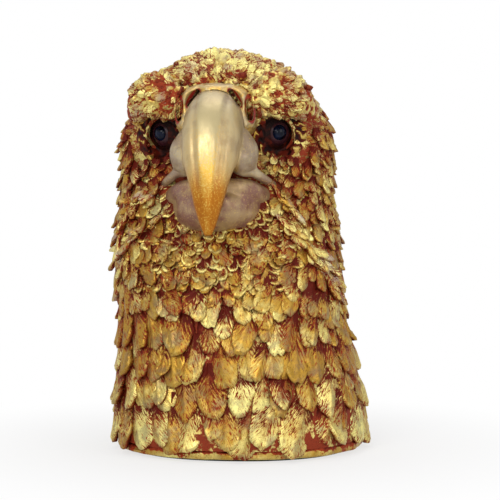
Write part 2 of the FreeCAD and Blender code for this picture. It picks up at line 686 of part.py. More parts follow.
def main():
    os.makedirs("parts", exist_ok=True)
    outer = ground_solid(0.0)
    cavity = ground_solid(WALL, INNER_TOP_SHARE)

    write("felt_pad", pad())
    write("base_plate", plate())
    write("base_screws", screws())
    write("base_lugs", lugs(cavity))

    pins = pin_cutters()
    neck = between(outer, FOOT, SEAM).cut(cavity)
    head = between(outer, SEAM, 2 * BODY_HEIGHT)
    for socket in sockets():
        head = head.cut(socket)
    hollow = cavity
    for backing in sockets(WALL):
        hollow = hollow.cut(backing)
    head = head.cut(hollow)
    for ball in eye_balls(EYE_RADIUS + CUP_WALL):
        head = head.cut(ball)
    ring = sleeve()
    for pin in pins:
        neck, head, ring = neck.cut(pin), head.cut(pin), ring.cut(pin)

    beak_start, beak_end, wall = stud_axis()
    stud = tube(STUD_RADIUS, beak_start, beak_end)
    jaw_dowels = [
        tube(
            DOWEL_RADIUS,
            Vector(x, -DOWEL_FRONT - DOWEL_LENGTH / 2, MOUTH - DOWEL_DROP),
            Vector(x, -DOWEL_FRONT + DOWEL_LENGTH / 2, MOUTH - DOWEL_DROP),
        )
        for x in (-DOWEL_X, DOWEL_X)
    ]
    for cutter in [stud] + jaw_dowels:
        head = head.cut(cutter)
    write("neck_casting", largest(neck))
    write("head_casting", largest(head))
    write("joint_sleeve", ring)
    write("joint_pins", pins)

    beak = beak_body()
    gape = bent_loft(GAPE_STATIONS, MOUTH)
    swellings = lobes() + [gape, mirrored(gape)]
    for swelling in swellings:
        beak = beak.fuse(swelling)
    jaw = upright_loft(JAW_STATIONS, JAW_FULLNESS).cut(outer)
    bite = [beak_body()] + [swelling.copy() for swelling in swellings]
    for cutter in bite:
        cutter.translate(Vector(0, 0, -MOUTH_GAP))
        jaw = jaw.cut(cutter)
    for dowel in jaw_dowels:
        jaw = jaw.cut(dowel)
    hood = upright_loft(CERE_STATIONS, CERE_FULLNESS).cut(beak).cut(outer)
    upper = beak.cut(outer).cut(stud)
    for cutter in nostrils():
        hood, upper = hood.cut(cutter), upper.cut(cutter)
    hood = largest(hood)
    write("upper_beak", largest(upper))
    write("lower_beak", largest(jaw))
    write("jaw_dowels", jaw_dowels)
    write("cere", hood)
    write("beak_stud", stud)
    washer = Part.makeCylinder(WASHER_RADIUS, WASHER_THICKNESS)
    washer = washer.cut(Part.makeCylinder(STUD_RADIUS, WASHER_THICKNESS))
    nut = hexagon(NUT_WIDTH, NUT_THICKNESS).cut(Part.makeCylinder(STUD_RADIUS, NUT_THICKNESS))
    back = Vector(0, 1, 0)
    washer_face = wall + WASHER_SEAT
    write("beak_washer", along(washer, Vector(0, washer_face, beak_end.z), back))
    write("beak_nut", along(nut, Vector(0, washer_face + WASHER_THICKNESS, beak_end.z), back))

    left = bent_loft(BROW_STATIONS, EYE_HEIGHT).cut(outer).cut(hood).cut(beak)
    left = largest(left.cut(Part.makeSphere(EYE_RADIUS + CUP_WALL, EYE)))
    write("left_brow", left)
    write("right_brow", mirrored(left))
    for piece, shape in eye_pieces().items():
        write("left_" + piece, shape)
        write("right_" + piece, mirrored(shape))

    chance = random.Random(7)
    below = COURSES[0][1] - FIRST_PITCH
    for number, (name, share, count, length, first) in enumerate(COURSES):
        write(name, course(share, share - below, count, length, first, chance, 0.5 * (number % 2)))
        below = share
    cheek = cheek_rows()
    write("left_cheek_feathers", cheek)
    write("right_cheek_feathers", [mirrored(shape) for shape in cheek])
    for number, (name, share, count, first) in enumerate(CROWN_ROWS):
        write(name, crown_row(share, count, first, chance, 0.5 * (number % 2)))


main()
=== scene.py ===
"""Gilded eagle head bust: carved feathers, gold leaf worn back to red bole, burnished beak, glass eyes."""
import math

import bmesh
import bpy
import numpy as np
from mathutils import Matrix, Vector
from mathutils.bvhtree import BVHTree


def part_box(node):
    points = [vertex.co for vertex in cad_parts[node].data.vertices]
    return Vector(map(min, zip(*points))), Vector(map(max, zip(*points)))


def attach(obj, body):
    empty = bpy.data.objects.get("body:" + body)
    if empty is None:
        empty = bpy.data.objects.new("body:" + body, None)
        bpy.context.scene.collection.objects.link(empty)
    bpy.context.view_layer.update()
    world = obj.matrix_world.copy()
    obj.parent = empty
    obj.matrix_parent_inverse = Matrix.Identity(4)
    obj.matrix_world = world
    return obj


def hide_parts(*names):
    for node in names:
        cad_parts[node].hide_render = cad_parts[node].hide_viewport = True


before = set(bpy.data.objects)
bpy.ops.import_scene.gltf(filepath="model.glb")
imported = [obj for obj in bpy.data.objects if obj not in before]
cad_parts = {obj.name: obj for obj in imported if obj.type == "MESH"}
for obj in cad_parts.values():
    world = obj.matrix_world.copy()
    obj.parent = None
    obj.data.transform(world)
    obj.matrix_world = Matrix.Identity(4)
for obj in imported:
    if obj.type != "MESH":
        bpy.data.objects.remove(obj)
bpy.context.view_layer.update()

MM = 0.001
HEAD_AXIS = sum((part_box("upper_beak")[i].x for i in (0, 1))) / 2      # the head's middle plane
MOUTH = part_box("upper_beak")[0].z + 39.0 * MM                         # height of the mouth line
EYE_HEIGHT = sum((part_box("left_eyeball")[i].z for i in (0, 1))) / 2
CORE = Vector((HEAD_AXIS, 0, 190.0 * MM))                             # a point deep in the head


# ---------------------------------------------------------------- random fields and mesh tools

def lumps(points, size, seed):
    """Smooth random field from -1 to 1 over points, with features of about a size."""
    table = np.random.default_rng(seed).uniform(-1, 1, (32, 32, 32))
    spread = np.asarray(points, float) / size
    cell = np.floor(spread).astype(int)
    part = spread - cell
    part = part * part * (3 - 2 * part)
    total = 0
    for corner in range(8):
        step = np.array([corner & 1, corner >> 1 & 1, corner >> 2 & 1])
        index = (cell + step) & 31
        weight = np.prod(np.where(step, part, 1 - part), axis=-1)
        total = total + weight * table[index[..., 0], index[..., 1], index[..., 2]]
    return total


def ramp(low, high, value):
    """Smooth step from 0 at low to 1 at high."""
    t = np.clip((value - low) / (high - low), 0, 1)
    return t * t * (3 - 2 * t)


def from_axis(points):
    """Distance of points from the head's middle plane."""
    return np.abs(points[:, 0] - HEAD_AXIS)


def ahead(point):
    """How far round to the front a point lies: 1 straight in front, -1 straight behind."""
    return -point[1] / np.hypot(point[0] - HEAD_AXIS, point[1])


def unit(vectors):
    return vectors / np.linalg.norm(vectors, axis=-1, keepdims=True)


def triples(items, name, kind=np.float32):
    """Three numbers of each item, a row each."""
    out = np.empty(len(items) * 3, kind)
    items.foreach_get(name, out)
    return out.reshape(-1, 3)


def vertices(mesh):
    return triples(mesh.vertices, "co").astype(float)


def vertex_normals(mesh):
    return triples(mesh.vertex_normals, "vector").astype(float)


def triangles(mesh):
    mesh.calc_loop_triangles()
    return triples(mesh.loop_triangles, "vertices", np.int32)


def set_vertices(mesh, co):
    mesh.vertices.foreach_set("co", np.ascontiguousarray(co, np.float32).ravel())
    mesh.update()


def add_values(mesh, kind="FLOAT", slot="value", **named):
    """Stores numbers per vertex for the materials to read."""
    for name, values in named.items():
        layer = mesh.attributes.new(name, kind, "POINT")
        layer.data.foreach_set(slot, np.ascontiguousarray(values, np.float32).ravel())


def smooth_shaded(mesh):
    mesh.polygons.foreach_set("use_smooth", np.ones(len(mesh.polygons), bool))


def in_scene(name, data):
    """A new object, put in the scene."""
    made = bpy.data.objects.new(name, data)
    bpy.context.scene.collection.objects.link(made)
    return made


def new_piece(name, mesh, material, stands_for=()):
    """A visible piece that rides on the bust and stands for the CAD nodes it replaces."""
    mesh.materials.clear()
    mesh.materials.append(material)
    piece = in_scene(name, mesh)
    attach(piece, "root")
    if stands_for:
        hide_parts(*stands_for)


def beads(stations, count):
    """Ellipsoids strung along stations of centre and radii, given in millimetres for the left side."""
    rows = np.array([list(centre) + list(radii) for centre, radii in stations], float)
    steps = np.linspace(0, len(rows) - 1, count)
    return np.stack([np.interp(steps, range(len(rows)), rows[:, i]) for i in range(6)], axis=1)


def both_sides(strung):
    return np.concatenate([strung, strung * np.array([-1, 1, 1, 1, 1, 1])])


def reworked(node, voxel, rounds, added=()):
    """A fine even mesh of a CAD node and ellipsoids melted into it, softened in rounds, to carve on."""
    work = bmesh.new()
    work.from_mesh(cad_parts[node].data)
    for x, y, z, *radii in added:
        place = Matrix.Translation((HEAD_AXIS + x * MM, y * MM, z * MM))
        size = Matrix.Diagonal([radius * MM for radius in radii] + [1])
        bmesh.ops.create_icosphere(work, subdivisions=3, radius=1, matrix=place @ size)
    data = bpy.data.meshes.new("blank")
    work.to_mesh(data)
    work.free()
    blank = in_scene("blank", data)
    weld = blank.modifiers.new("weld", "WELD")
    weld.merge_threshold = 0.02 * MM
    even = blank.modifiers.new("even", "REMESH")
    even.mode = "VOXEL"
    even.voxel_size = voxel
    soften = blank.modifiers.new("soften", "SMOOTH")
    soften.iterations = rounds
    soften.factor = 0.5
    graph = bpy.context.evaluated_depsgraph_get()
    mesh = bpy.data.meshes.new_from_object(blank.evaluated_get(graph))
    bpy.data.objects.remove(blank)
    smooth_shaded(mesh)
    return mesh


# ---------------------------------------------------------------- finishes

def feed(tree, value, socket):
    """Gives a socket a constant or another node's output."""
    if isinstance(value, (int, float, tuple)):
        socket.default_value = value
    else:
        tree.links.new(value, socket)


def maths(tree, operation, *given):
    """Result of one sum on up to three values."""
    node = tree.nodes.new("ShaderNodeMath")
    node.operation = operation
    for socket, value in zip(node.inputs, given):
        feed(tree, value, socket)
    return node.outputs[0]


def varied(tree, value, *noises):
    """A value raised and lowered by noises from 0 to 1, each with how far it moves the value."""
    for noise, reach in noises:
        value = maths(tree, "ADD", value, maths(tree, "MULTIPLY_ADD", noise, reach, -reach / 2))
    return value


def blended(tree, share, first, second):
    """Colour between two, by a share."""
    node = tree.nodes.new("ShaderNodeMix")
    node.data_type = "RGBA"
    inputs = {socket.identifier: socket for socket in node.inputs}
    for name, value in (("Factor_Float", share), ("A_Color", first), ("B_Color", second)):
        feed(tree, value, inputs[name])
    return next(s for s in node.outputs if s.identifier == "Result_Color")


def spread(tree, value, low, high, to_low=0.0, to_high=1.0):
    """Smooth step from one number to another as a value goes from low to high."""
    node = tree.nodes.new("ShaderNodeMapRange")
    node.interpolation_type = "SMOOTHSTEP"
    given = {"Value": value, "From Min": low, "From Max": high, "To Min": to_low, "To Max": to_high}
    for name, number in given.items():
        feed(tree, number, node.inputs[name])
    return node.outputs["Result"]


def on_piece(tree):
    """Place on a piece, in metres."""
    return tree.nodes.new("ShaderNodeTexCoord").outputs["Object"]


def grain(tree, place, scale, detail, rough, stretch=None):
    """Noise over the piece at a scale per metre."""
    if stretch:
        turn = tree.nodes.new("ShaderNodeMapping")
        turn.inputs["Scale"].default_value = stretch
        feed(tree, place, turn.inputs["Vector"])
        place = turn.outputs[0]
    node = tree.nodes.new("ShaderNodeTexNoise")
    node.inputs["Scale"].default_value = scale
    node.inputs["Detail"].default_value = detail
    node.inputs["Roughness"].default_value = rough
    feed(tree, place, node.inputs["Vector"])
    return node.outputs["Fac"]


def reading(tree, name, output="Fac"):
    """Numbers that the carving stored on a piece."""
    node = tree.nodes.new("ShaderNodeAttribute")
    node.attribute_name = name
    return node.outputs[output]


def linear(red, green, blue):
    """Colour written from 0 to 255, as linear light."""
    def one(value):
        value /= 255
        return value / 12.92 if value <= 0.04045 else ((value + 0.055) / 1.055) ** 2.4
    return (one(red), one(green), one(blue), 1.0)


def new_group(name, inputs, outputs):
    """An effect group, with what each input is unless a material says otherwise."""
    group = bpy.data.node_groups.new(name, "ShaderNodeTree")

    def add_socket(label, way, colour):
        kind = "NodeSocketColor" if colour else "NodeSocketFloat"
        return group.interface.new_socket(label, in_out=way, socket_type=kind)

    for label, value in inputs.items():
        add_socket(label, "INPUT", isinstance(value, tuple)).default_value = value
    for label in outputs:
        add_socket(label, "OUTPUT", label == "Color")
    return group, group.nodes.new("NodeGroupInput").outputs, group.nodes.new("NodeGroupOutput").inputs


def leaf_over_bole():
    """Gold leaf that is whole on raised places and worn back to red bole in the hollows, where the bole is
    darkened as painted shade.
    """
    inputs = {
        "Leaf": linear(172, 132, 50),
        # pale leaf: random paler tone, and also the painted highlight of the low courses
        "Pale Leaf": linear(232, 220, 138),
        "Bole": linear(154, 58, 28),
        # dark bole: random dark mottle, and the painted shade in hollows, at feather roots and under feathers
        "Dark": linear(94, 22, 9),
        "Rise": 1.0,
        "Wear": 0.5,
        "Tint": 0.5,
        "Scratch": 0.5,
    }
    outputs = ("Color", "Metallic", "Roughness", "Height")
    group, given, result = new_group("leaf_over_bole", inputs, outputs)
    place = on_piece(group)
    broad = grain(group, place, 55.0, 3.0, 0.55)
    fine = grain(group, place, 520.0, 4.0, 0.6)
    spots = grain(group, place, 210.0, 3.0, 0.6)
    scratch = given["Scratch"]

    # How much leaf is left: more on raised places, less in scratches and where it is rubbed
    cover = maths(group, "ADD", given["Rise"], 0.05)
    cover = varied(group, cover, (broad, 1.1), (spots, 0.7), (fine, 0.9), (scratch, 2.5))
    leaf = spread(group, maths(group, "SUBTRACT", cover, given["Wear"]), -0.05, 0.09)

    # painted shade: low Rise (hollows, feather roots, undersides) darkens the bole towards the dark colour;
    # low spots add random dark mottle
    shade = maths(group, "MULTIPLY_ADD", spots, 1.4, maths(group, "ADD", given["Rise"], -0.7))
    ground = blended(group, spread(group, shade, -0.1, 0.55), given["Dark"], given["Bole"])
    tint = varied(group, given["Tint"], (broad, 0.9), (spots, 0.9), (scratch, 0.8))
    gold = blended(group, spread(group, tint, 0.10, 1.05), given["Leaf"], given["Pale Leaf"])
    pits = spread(group, grain(group, place, 1300.0, 2.0, 0.5), 0.60, 0.68, 0.0, 0.65)
    pit_brown = linear(66, 32, 16)
    feed(group, blended(group, pits, blended(group, leaf, ground, gold), pit_brown), result["Color"])
    feed(group, maths(group, "MULTIPLY", leaf, 0.75), result["Metallic"])
    rough = spread(group, spots, 0.3, 0.7, 0.28, 0.50)
    feed(group, spread(group, leaf, 0.0, 1.0, 0.60, rough), result["Roughness"])
    height = maths(group, "MULTIPLY_ADD", leaf, 0.5, maths(group, "MULTIPLY", scratch, 1.2))
    feed(group, maths(group, "MULTIPLY_ADD", fine, 0.5, height), result["Height"])
    return group


def patina():
    """Grey-purple bloom that dulls a finish in soft patches, where Where is 1."""
    inputs = {"Color": linear(172, 132, 50), "Bloom": linear(96, 78, 84), "Amount": 0.4, "Where": 1.0}
    group, given, result = new_group("patina", inputs, ("Color", "Mask"))
    patches = grain(group, on_piece(group), 80.0, 4.0, 0.62)
    mask = maths(group, "MULTIPLY", spread(group, patches, 0.46, 0.66), given["Amount"])
    mask = maths(group, "MULTIPLY", mask, given["Where"])
    feed(group, blended(group, mask, given["Color"], given["Bloom"]), result["Color"])
    feed(group, mask, result["Mask"])
    return group


LEAF = leaf_over_bole()
PATINA = patina()


def finish(name):
    """A new material, its node tree and its shader."""
    material = bpy.data.materials.new(name)
    material.use_nodes = True
    tree = material.node_tree
    return material, tree, tree.nodes["Principled BSDF"]


def placed(tree, group, values):
    """Node of an effect group with a material's own values."""
    node = tree.nodes.new("ShaderNodeGroup")
    node.node_tree = group
    for name, value in values.items():
        node.inputs[name].default_value = value
    return node


def add_relief(tree, shader, height, strength, depth):
    """Fine relief from a height, with its depth in millimetres."""
    bump = tree.nodes.new("ShaderNodeBump")
    bump.inputs["Strength"].default_value = strength
    bump.inputs["Distance"].default_value = depth * MM
    feed(tree, height, bump.inputs["Height"])
    feed(tree, bump.outputs["Normal"], shader.inputs["Normal"])


def combed(tree):
    """Fine scratches that follow a feather's barbs."""
    return grain(tree, reading(tree, "vane", "Vector"), 1.0, 2.0, 0.5, (260.0, 1900.0, 1.0))


def gilded(name, wear, bloom, has_rise=False, has_vane=False, film=None, **colours):
    """Gold leaf over bole. Rise, tint and the run of the barbs come from the piece where it has them."""
    material, tree, shader = finish(name)
    shader.inputs["Specular IOR Level"].default_value = 0.12
    leaf = placed(tree, LEAF, {"Wear": wear, **colours})
    if has_rise:
        feed(tree, reading(tree, "rise"), leaf.inputs["Rise"])
        feed(tree, reading(tree, "tint"), leaf.inputs["Tint"])
    if has_vane:
        feed(tree, combed(tree), leaf.inputs["Scratch"])
    dull = placed(tree, PATINA, {"Amount": bloom, **({"Bloom": film} if film else {})})
    feed(tree, leaf.outputs["Color"], dull.inputs["Color"])
    feed(tree, leaf.outputs["Metallic"], dull.inputs["Where"])
    feed(tree, dull.outputs["Color"], shader.inputs["Base Color"])
    clean = maths(tree, "MULTIPLY_ADD", dull.outputs["Mask"], -0.8, 1.0)
    feed(tree, maths(tree, "MULTIPLY", leaf.outputs["Metallic"], clean), shader.inputs["Metallic"])
    feed(tree, leaf.outputs["Roughness"], shader.inputs["Roughness"])
    add_relief(tree, shader, leaf.outputs["Height"], 0.3, 0.4)
    return material


def beak_finish():
    """Burnished leaf, pale at the root and orange at the tip, dull skin where skin is 1, red in hollows."""
    material, tree, shader = finish("beak_gilt")
    place = on_piece(tree)
    brushed = grain(tree, place, 1.0, 3.0, 0.6, (900.0, 900.0, 110.0))
    cloud = grain(tree, place, 70.0, 4.0, 0.55)
    speck = grain(tree, place, 900.0, 2.0, 0.6)
    rise, carved_tint, skin = (reading(tree, name) for name in ("rise", "tint", "skin"))

    tint = maths(tree, "MULTIPLY_ADD", brushed, 0.35, carved_tint)
    tint = maths(tree, "MULTIPLY_ADD", cloud, 0.5, tint)
    tint = maths(tree, "ADD", tint, spread(tree, speck, 0.45, 0.72, -0.08, 0.32))
    ramp_node = tree.nodes.new("ShaderNodeValToRGB")
    stops = ramp_node.color_ramp.elements
    stops[0].position, stops[0].color = 0.10, linear(150, 78, 14)
    stops[1].position, stops[1].color = 0.92, linear(182, 166, 124)
    stops.new(0.34).color = linear(176, 112, 26)
    stops.new(0.62).color = linear(204, 164, 74)
    feed(tree, maths(tree, "MULTIPLY", tint, 0.66), ramp_node.inputs[0])

    hollow_red, fleck_gold = linear(140, 26, 14), linear(206, 176, 96)
    patches = spread(tree, cloud, 0.38, 0.60)
    lobe = blended(tree, patches, linear(186, 170, 136), linear(150, 128, 104))
    chin = blended(tree, patches, linear(168, 138, 98), linear(134, 92, 76))
    skin_tone = blended(tree, spread(tree, carved_tint, 0.2, 0.6), chin, lobe)
    glint = blended(tree, spread(tree, speck, 0.56, 0.70, 0.0, 0.6), skin_tone, fleck_gold)
    hollow = spread(tree, rise, 0.0, 0.5)
    body = blended(tree, skin, ramp_node.outputs["Color"], glint)
    feed(tree, blended(tree, hollow, hollow_red, body), shader.inputs["Base Color"])
    metal = maths(tree, "MULTIPLY", spread(tree, skin, 0.0, 1.0, 0.80, 0.30), hollow)
    feed(tree, metal, shader.inputs["Metallic"])
    feed(tree, spread(tree, brushed, 0.3, 0.7, 0.34, 0.50), shader.inputs["Roughness"])
    add_relief(tree, shader, maths(tree, "ADD", brushed, speck), 0.25, 0.2)
    return material


def plain(name, colour, roughness, metallic=0.0, gloss=0.5, mottle=0.12):
    """One finish with a little life in its colour and roughness."""
    material, tree, shader = finish(name)
    uneven = spread(tree, grain(tree, on_piece(tree), 160.0, 4.0, 0.6), 0.3, 0.7)
    deep = tuple(c * (1 - 3 * mottle) for c in colour[:3]) + (1.0,)
    feed(tree, blended(tree, uneven, deep, colour), shader.inputs["Base Color"])
    rough = maths(tree, "MULTIPLY_ADD", uneven, -0.40 * roughness, 1.25 * roughness)
    feed(tree, rough, shader.inputs["Roughness"])
    shader.inputs["Metallic"].default_value = metallic
    shader.inputs["Specular IOR Level"].default_value = gloss
    return material


FEATHER_GILT = gilded("feather_gilt", wear=0.36, bloom=0.6, has_rise=True, has_vane=True)
CROWN_GILT = gilded(
    "crown_gilt", wear=0.42, bloom=0.75, has_rise=True, has_vane=True, film=linear(158, 132, 128)
)
RUFF_GILT = gilded(
    "ruff_gilt", wear=0.36, bloom=0.85, has_rise=True, has_vane=True, film=linear(164, 146, 150)
)
CASTING_GILT = gilded(
    "casting_gilt", wear=1.12, bloom=0.35, Bole=linear(140, 54, 30), Dark=linear(104, 32, 16)
)
TUFT_GILT = gilded("tuft_gilt", wear=0.50, bloom=0.6, has_rise=True)
# painted shade: the socket's bole and dark colours are near black, standing for the deep shadow under the
# brows
SHADED_SOCKET_GILT = gilded(
    "socket_gilt_shaded", wear=0.82, bloom=0.2, has_rise=True, Bole=linear(92, 26, 12), Dark=linear(24, 5, 3)
)
RIM_GILT = gilded("rim_gilt", wear=0.60, bloom=0.2, has_rise=True)
BEAK_GILT = beak_finish()
BRONZE = plain("bare_bronze", linear(120, 84, 52), metallic=0.9, roughness=0.5)
STEEL = plain("zinc_plated_steel", linear(200, 200, 202), metallic=1.0, roughness=0.35)
FELT = plain("felt", linear(42, 62, 50), roughness=0.95)
# painted shade: the eyeball's reddish enamel is darkened to stand for the deep shadow under the brows
SHADED_EYE_ENAMEL = plain("eye_enamel", linear(62, 28, 34), roughness=0.3, gloss=0.25)
EYE_GLASS = plain("eye_glass", linear(15, 25, 50), roughness=0.07, gloss=0.14, mottle=0.30)


# ---------------------------------------------------------------- feathers

BARB_LEAN = math.radians(24)      # slant of the barbs from the shaft
CHEEK_SWEEP = 42.0                # degrees that feathers beside the bib are turned outwards
FOOT_FAN = 20.0                   # degrees that feathers of the low courses are turned outwards

# corners along and across one feather, then the spacing of its barbs and its thickness in millimetres
BIG = (50, 24, 2.3, 3.0)
SMALL = (26, 14, 1.9, 2.2)
CHEEK = (20, 12, 1.7, 2.0)
CROWN = (18, 10, 1.7, 2.6)
SKULL_TUFT = (16, 10, 1.7, 2.2)
BROW_TUFT = (16, 10, 1.7, 2.6)
BIB_CURL = (18, 12, 1.6, 2.6)
FACE_STRAND = (18, 10, 1.5, 2.0)
RUFF_STRAND = (30, 10, 1.5, 3.2)


class Flock:
    """Feathers to carve: where each root is, which way it lies, and how it is shaped and worn."""

    FIELDS = ("root", "out", "along", "length", "width", "lift", "curl", "cup", "tint", "worn")

    def __init__(self):
        self.rows = []

    def add(self, root, out, along, length, width, lift, curl, cup, tint, worn):
        self.rows.append((root, out, along, length, width, lift, curl, cup, tint, worn))

    def column(self, name):
        index = self.FIELDS.index(name)
        return np.array([row[index] for row in self.rows], float)


def separate_solids(node):
    """Vertices of each separate solid in a CAD node."""
    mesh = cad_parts[node].data
    points, welded = np.unique(np.round(vertices(mesh), 6), axis=0, return_inverse=True)
    corners = welded.reshape(-1)[triangles(mesh)]
    label = np.arange(len(points))
    while True:
        low = label[corners].min(axis=1)
        before = label.copy()
        for side in range(3):
            np.minimum.at(label, corners[:, side], low)
        label = label[label]
        if (label == before).all():
            break
    return [points[label == name] for name in np.unique(label)]


def feather_place(points):
    """Root of one CAD feather, its directions outward, across and to the tip, its length and width."""
    centre = points.mean(axis=0)
    _, axes = np.linalg.eigh(np.cov((points - centre).T))
    out, across, along = axes.T
    outwards = centre - np.array([HEAD_AXIS, 0, min(centre[2], CORE.z)])
    out = out * np.sign(out @ outwards)
    run = (points - centre) @ along
    side = (points - centre) @ across
    length = np.ptp(run)
    low_end = np.ptp(side[run < run.min() + 0.01 * length])
    high_end = np.ptp(side[run > run.max() - 0.01 * length])
    if low_end < high_end:
        along, run = -along, -run
    root = centre + along * run.min() + out * ((points - centre) @ out).min()
    return root, out, np.cross(out, along), along, length, np.ptp(side)


def grid_faces(rows, columns):
    """Faces of one closed feather: carved face, edge and underside, on a grid of corners."""
    def at(row, column):
        return row * (columns + 1) + column
    faces = [
        (at(r, c), at(r + 1, c), at(r + 1, c + 1), at(r, c + 1)) for r in range(rows) for c in range(columns)
    ]
    left = [at(r, 0) for r in range(rows + 1)]
    tip = [at(rows, c) for c in range(1, columns)]
    right = [at(r, columns) for r in range(rows, -1, -1)]
    root = [at(0, c) for c in range(columns - 1, 0, -1)]
    loop = left + tip + right + root
    first = (rows + 1) * (columns + 1)
    count = len(loop)
    for i in range(count):
        j = (i + 1) % count
        faces.append((loop[i], first + i, first + j, loop[j]))
    low = {corner: first + i for i, corner in enumerate(loop)}
    for r in range(rows):
        faces.append((low[at(r, 0)], low[at(r, columns)], low[at(r + 1, columns)], low[at(r + 1, 0)]))
    faces.append([low[left[-1]], low[right[0]]] + [low[c] for c in reversed(tip)])
    faces.append([low[right[-1]], low[left[0]]] + [low[c] for c in reversed(root)])
    return faces, np.array(loop)


def carve(name, flock, rows, columns, comb_size, thick, seed, root_bole_and_shade, rim):
    """Mesh of carved feathers: paddle-shaped, with a shaft, combed barbs, ragged tips and a raised rim."""
    comb_size, thick = comb_size * MM, thick * MM
    chance = np.random.default_rng(seed)
    count = len(flock.rows)
    root, out, along = flock.column("root"), unit(flock.column("out")), unit(flock.column("along"))
    out = unit(out - along * (out * along).sum(axis=1, keepdims=True))
    across = np.cross(out, along)
    length, width, lift, curl, cup, tint, worn = (
        flock.column(n)[:, None, None] for n in ("length", "width", "lift", "curl", "cup", "tint", "worn")
    )
    v = np.linspace(0, 1, rows + 1)[None, :, None] * np.ones((count, 1, columns + 1))
    u = np.linspace(-1, 1, columns + 1)[None, None, :] * np.ones((count, rows + 1, 1))
    edge = np.abs(u)
    side = np.sign(u)
    mark = np.arange(count)[:, None, None] * 7.31 * np.ones_like(v)

    def field(step, *axes):
        return lumps(np.stack(np.broadcast_arrays(*axes), -1), 1.0, seed + step)

    # outline: narrow root, widest past the middle, round tip, with splits and ragged edges
    full = 0.50 + 0.50 * ramp(0, 0.55, v) - 0.10 * ramp(0.62, 1.0, v)
    full = full * (1 + 0.08 * field(1, v * 11, side * 3.7, mark) * edge**2)
    for _ in range(3):
        where = chance.uniform(0.45, 0.97, (count, 1, 1))
        which = chance.choice([-1, 1], (count, 1, 1))
        deep = chance.uniform(0.0, 0.30, (count, 1, 1)) * (chance.random((count, 1, 1)) < 0.6)
        notch = np.exp(-((v + 0.12 * (1 - edge) - where) / 0.026) ** 2)
        full = full * (1 - deep * notch * (u * which > 0) * edge**2)
    half = width / 2 * full
    round_end = (1 - np.sqrt(1 - 0.985 * u**2)) * np.minimum(0.85 * width / length / 2 + 0.10, 0.42)
    run = v - round_end * ramp(0.15, 1.0, v) + 0.045 * field(2, u * 2.8, mark, 0.0) * ramp(0.6, 1.0, v)

    # relief: barbs that leave the shaft at a shallow slant, shaft, soft swelling, rolled edges
    x = u * half
    y = run * length
    over = np.abs(x) * math.cos(BARB_LEAN) - y * math.sin(BARB_LEAN)
    down = y * math.cos(BARB_LEAN) + np.abs(x) * math.sin(BARB_LEAN)
    drift = 2.2 * field(3, down / (9 * MM), over / (3 * MM), mark)
    comb = 0.5 + 0.5 * np.cos(2 * np.pi * over / comb_size + drift + side)
    depth = ramp(0.04, 0.3, edge)
    shaft = np.exp(-(u / 0.14) ** 2) * (1 - 0.7 * v)
    swell = field(4, v * 3.0, u * 1.3, mark)
    high = lift * v**1.2 + curl * np.maximum(v - 0.45, 0) ** 2 * 4
    high = high - cup * half * 2 * edge**2 * (0.6 + 0.4 * v)
    high = high + width * (0.055 * shaft + 0.06 * swell * ramp(0.1, 0.6, v))
    high = high + comb_size * 0.20 * (comb - 1) * depth
    bead = np.maximum(ramp(0.50, 0.80, edge) * ramp(0.2, 0.6, v), ramp(0.74, 0.90, v))
    high = high + rim * width * 0.14 * bead
    high = high - width * 0.05 * ramp(0.8, 1.0, edge) - length * 0.03 * ramp(0.93, 1.0, v)

    sway = width * 0.06 * field(5, v * 2, 0.0, mark)
    local = np.stack([x + sway, high, y], axis=-1)
    basis = np.stack([across, out, along], axis=1)
    top = np.einsum("frcl,flk->frck", local, basis) + root[:, None, None, :]
    top = top.reshape(count, -1, 3)
    faces, loop = grid_faces(rows, columns)
    skirt_local = local.reshape(count, -1, 3)[:, loop] * np.array([0.86, 1.0, 0.985])
    skirt_local[..., 1] -= thick * (0.25 + 0.75 * v.reshape(count, -1)[:, loop])
    skirt = np.einsum("fnl,flk->fnk", skirt_local, basis) + root[:, None, :]
    points = np.concatenate([top, skirt], axis=1)
    per = points.shape[1]

    def whole(values, under):
        flat = (values * np.ones_like(v)).reshape(count, -1)
        return np.concatenate([flat, np.full((count, len(loop)), under)], axis=1)

    rise = 0.58 + 0.34 * (comb - 0.5) * depth + 0.20 * shaft + 0.24 * swell + 0.12 * ramp(0.5, 1.0, v)
    # towards the root: bare red bole, and painted shade where the course above overlaps
    rise = rise - root_bole_and_shade * (1 - ramp(0.18, 0.72, v)) - worn
    rise = rise - 0.50 * ramp(0.70, 1.0, edge) * (1 - 0.50 * v) - 0.20 * ramp(0.93, 1.0, v)
    rise = rise + rim * (1.05 * bead - 0.62)
    tints = tint + 0.25 * ramp(0.35, 1.0, v) - 0.2
    vane = np.stack([whole(down, 0), whole(over, 0), whole(mark + side * 31, 0)], -1)

    mesh = bpy.data.meshes.new(name)
    sizes = np.array([len(f) for f in faces])
    corners = np.concatenate([np.array(f) for f in faces])
    all_corners = (corners[None, :] + per * np.arange(count)[:, None]).ravel()
    all_sizes = np.tile(sizes, count)
    mesh.vertices.add(per * count)
    mesh.loops.add(len(all_corners))
    mesh.polygons.add(len(all_sizes))
    mesh.vertices.foreach_set("co", points.astype(np.float32).ravel())
    mesh.loops.foreach_set("vertex_index", all_corners.astype(np.int32))
    starts = np.concatenate([[0], np.cumsum(all_sizes)[:-1]])
    mesh.polygons.foreach_set("loop_start", starts.astype(np.int32))
    mesh.update(calc_edges=True)
    mesh.validate()
    smooth_shaded(mesh)
    # the underside gets a low rise: painted shade under each feather
    add_values(mesh, rise=whole(rise, 0.55 - root_bole_and_shade), tint=whole(tints, 0.0))
    add_values(mesh, "FLOAT_VECTOR", "vector", vane=vane)
    return mesh


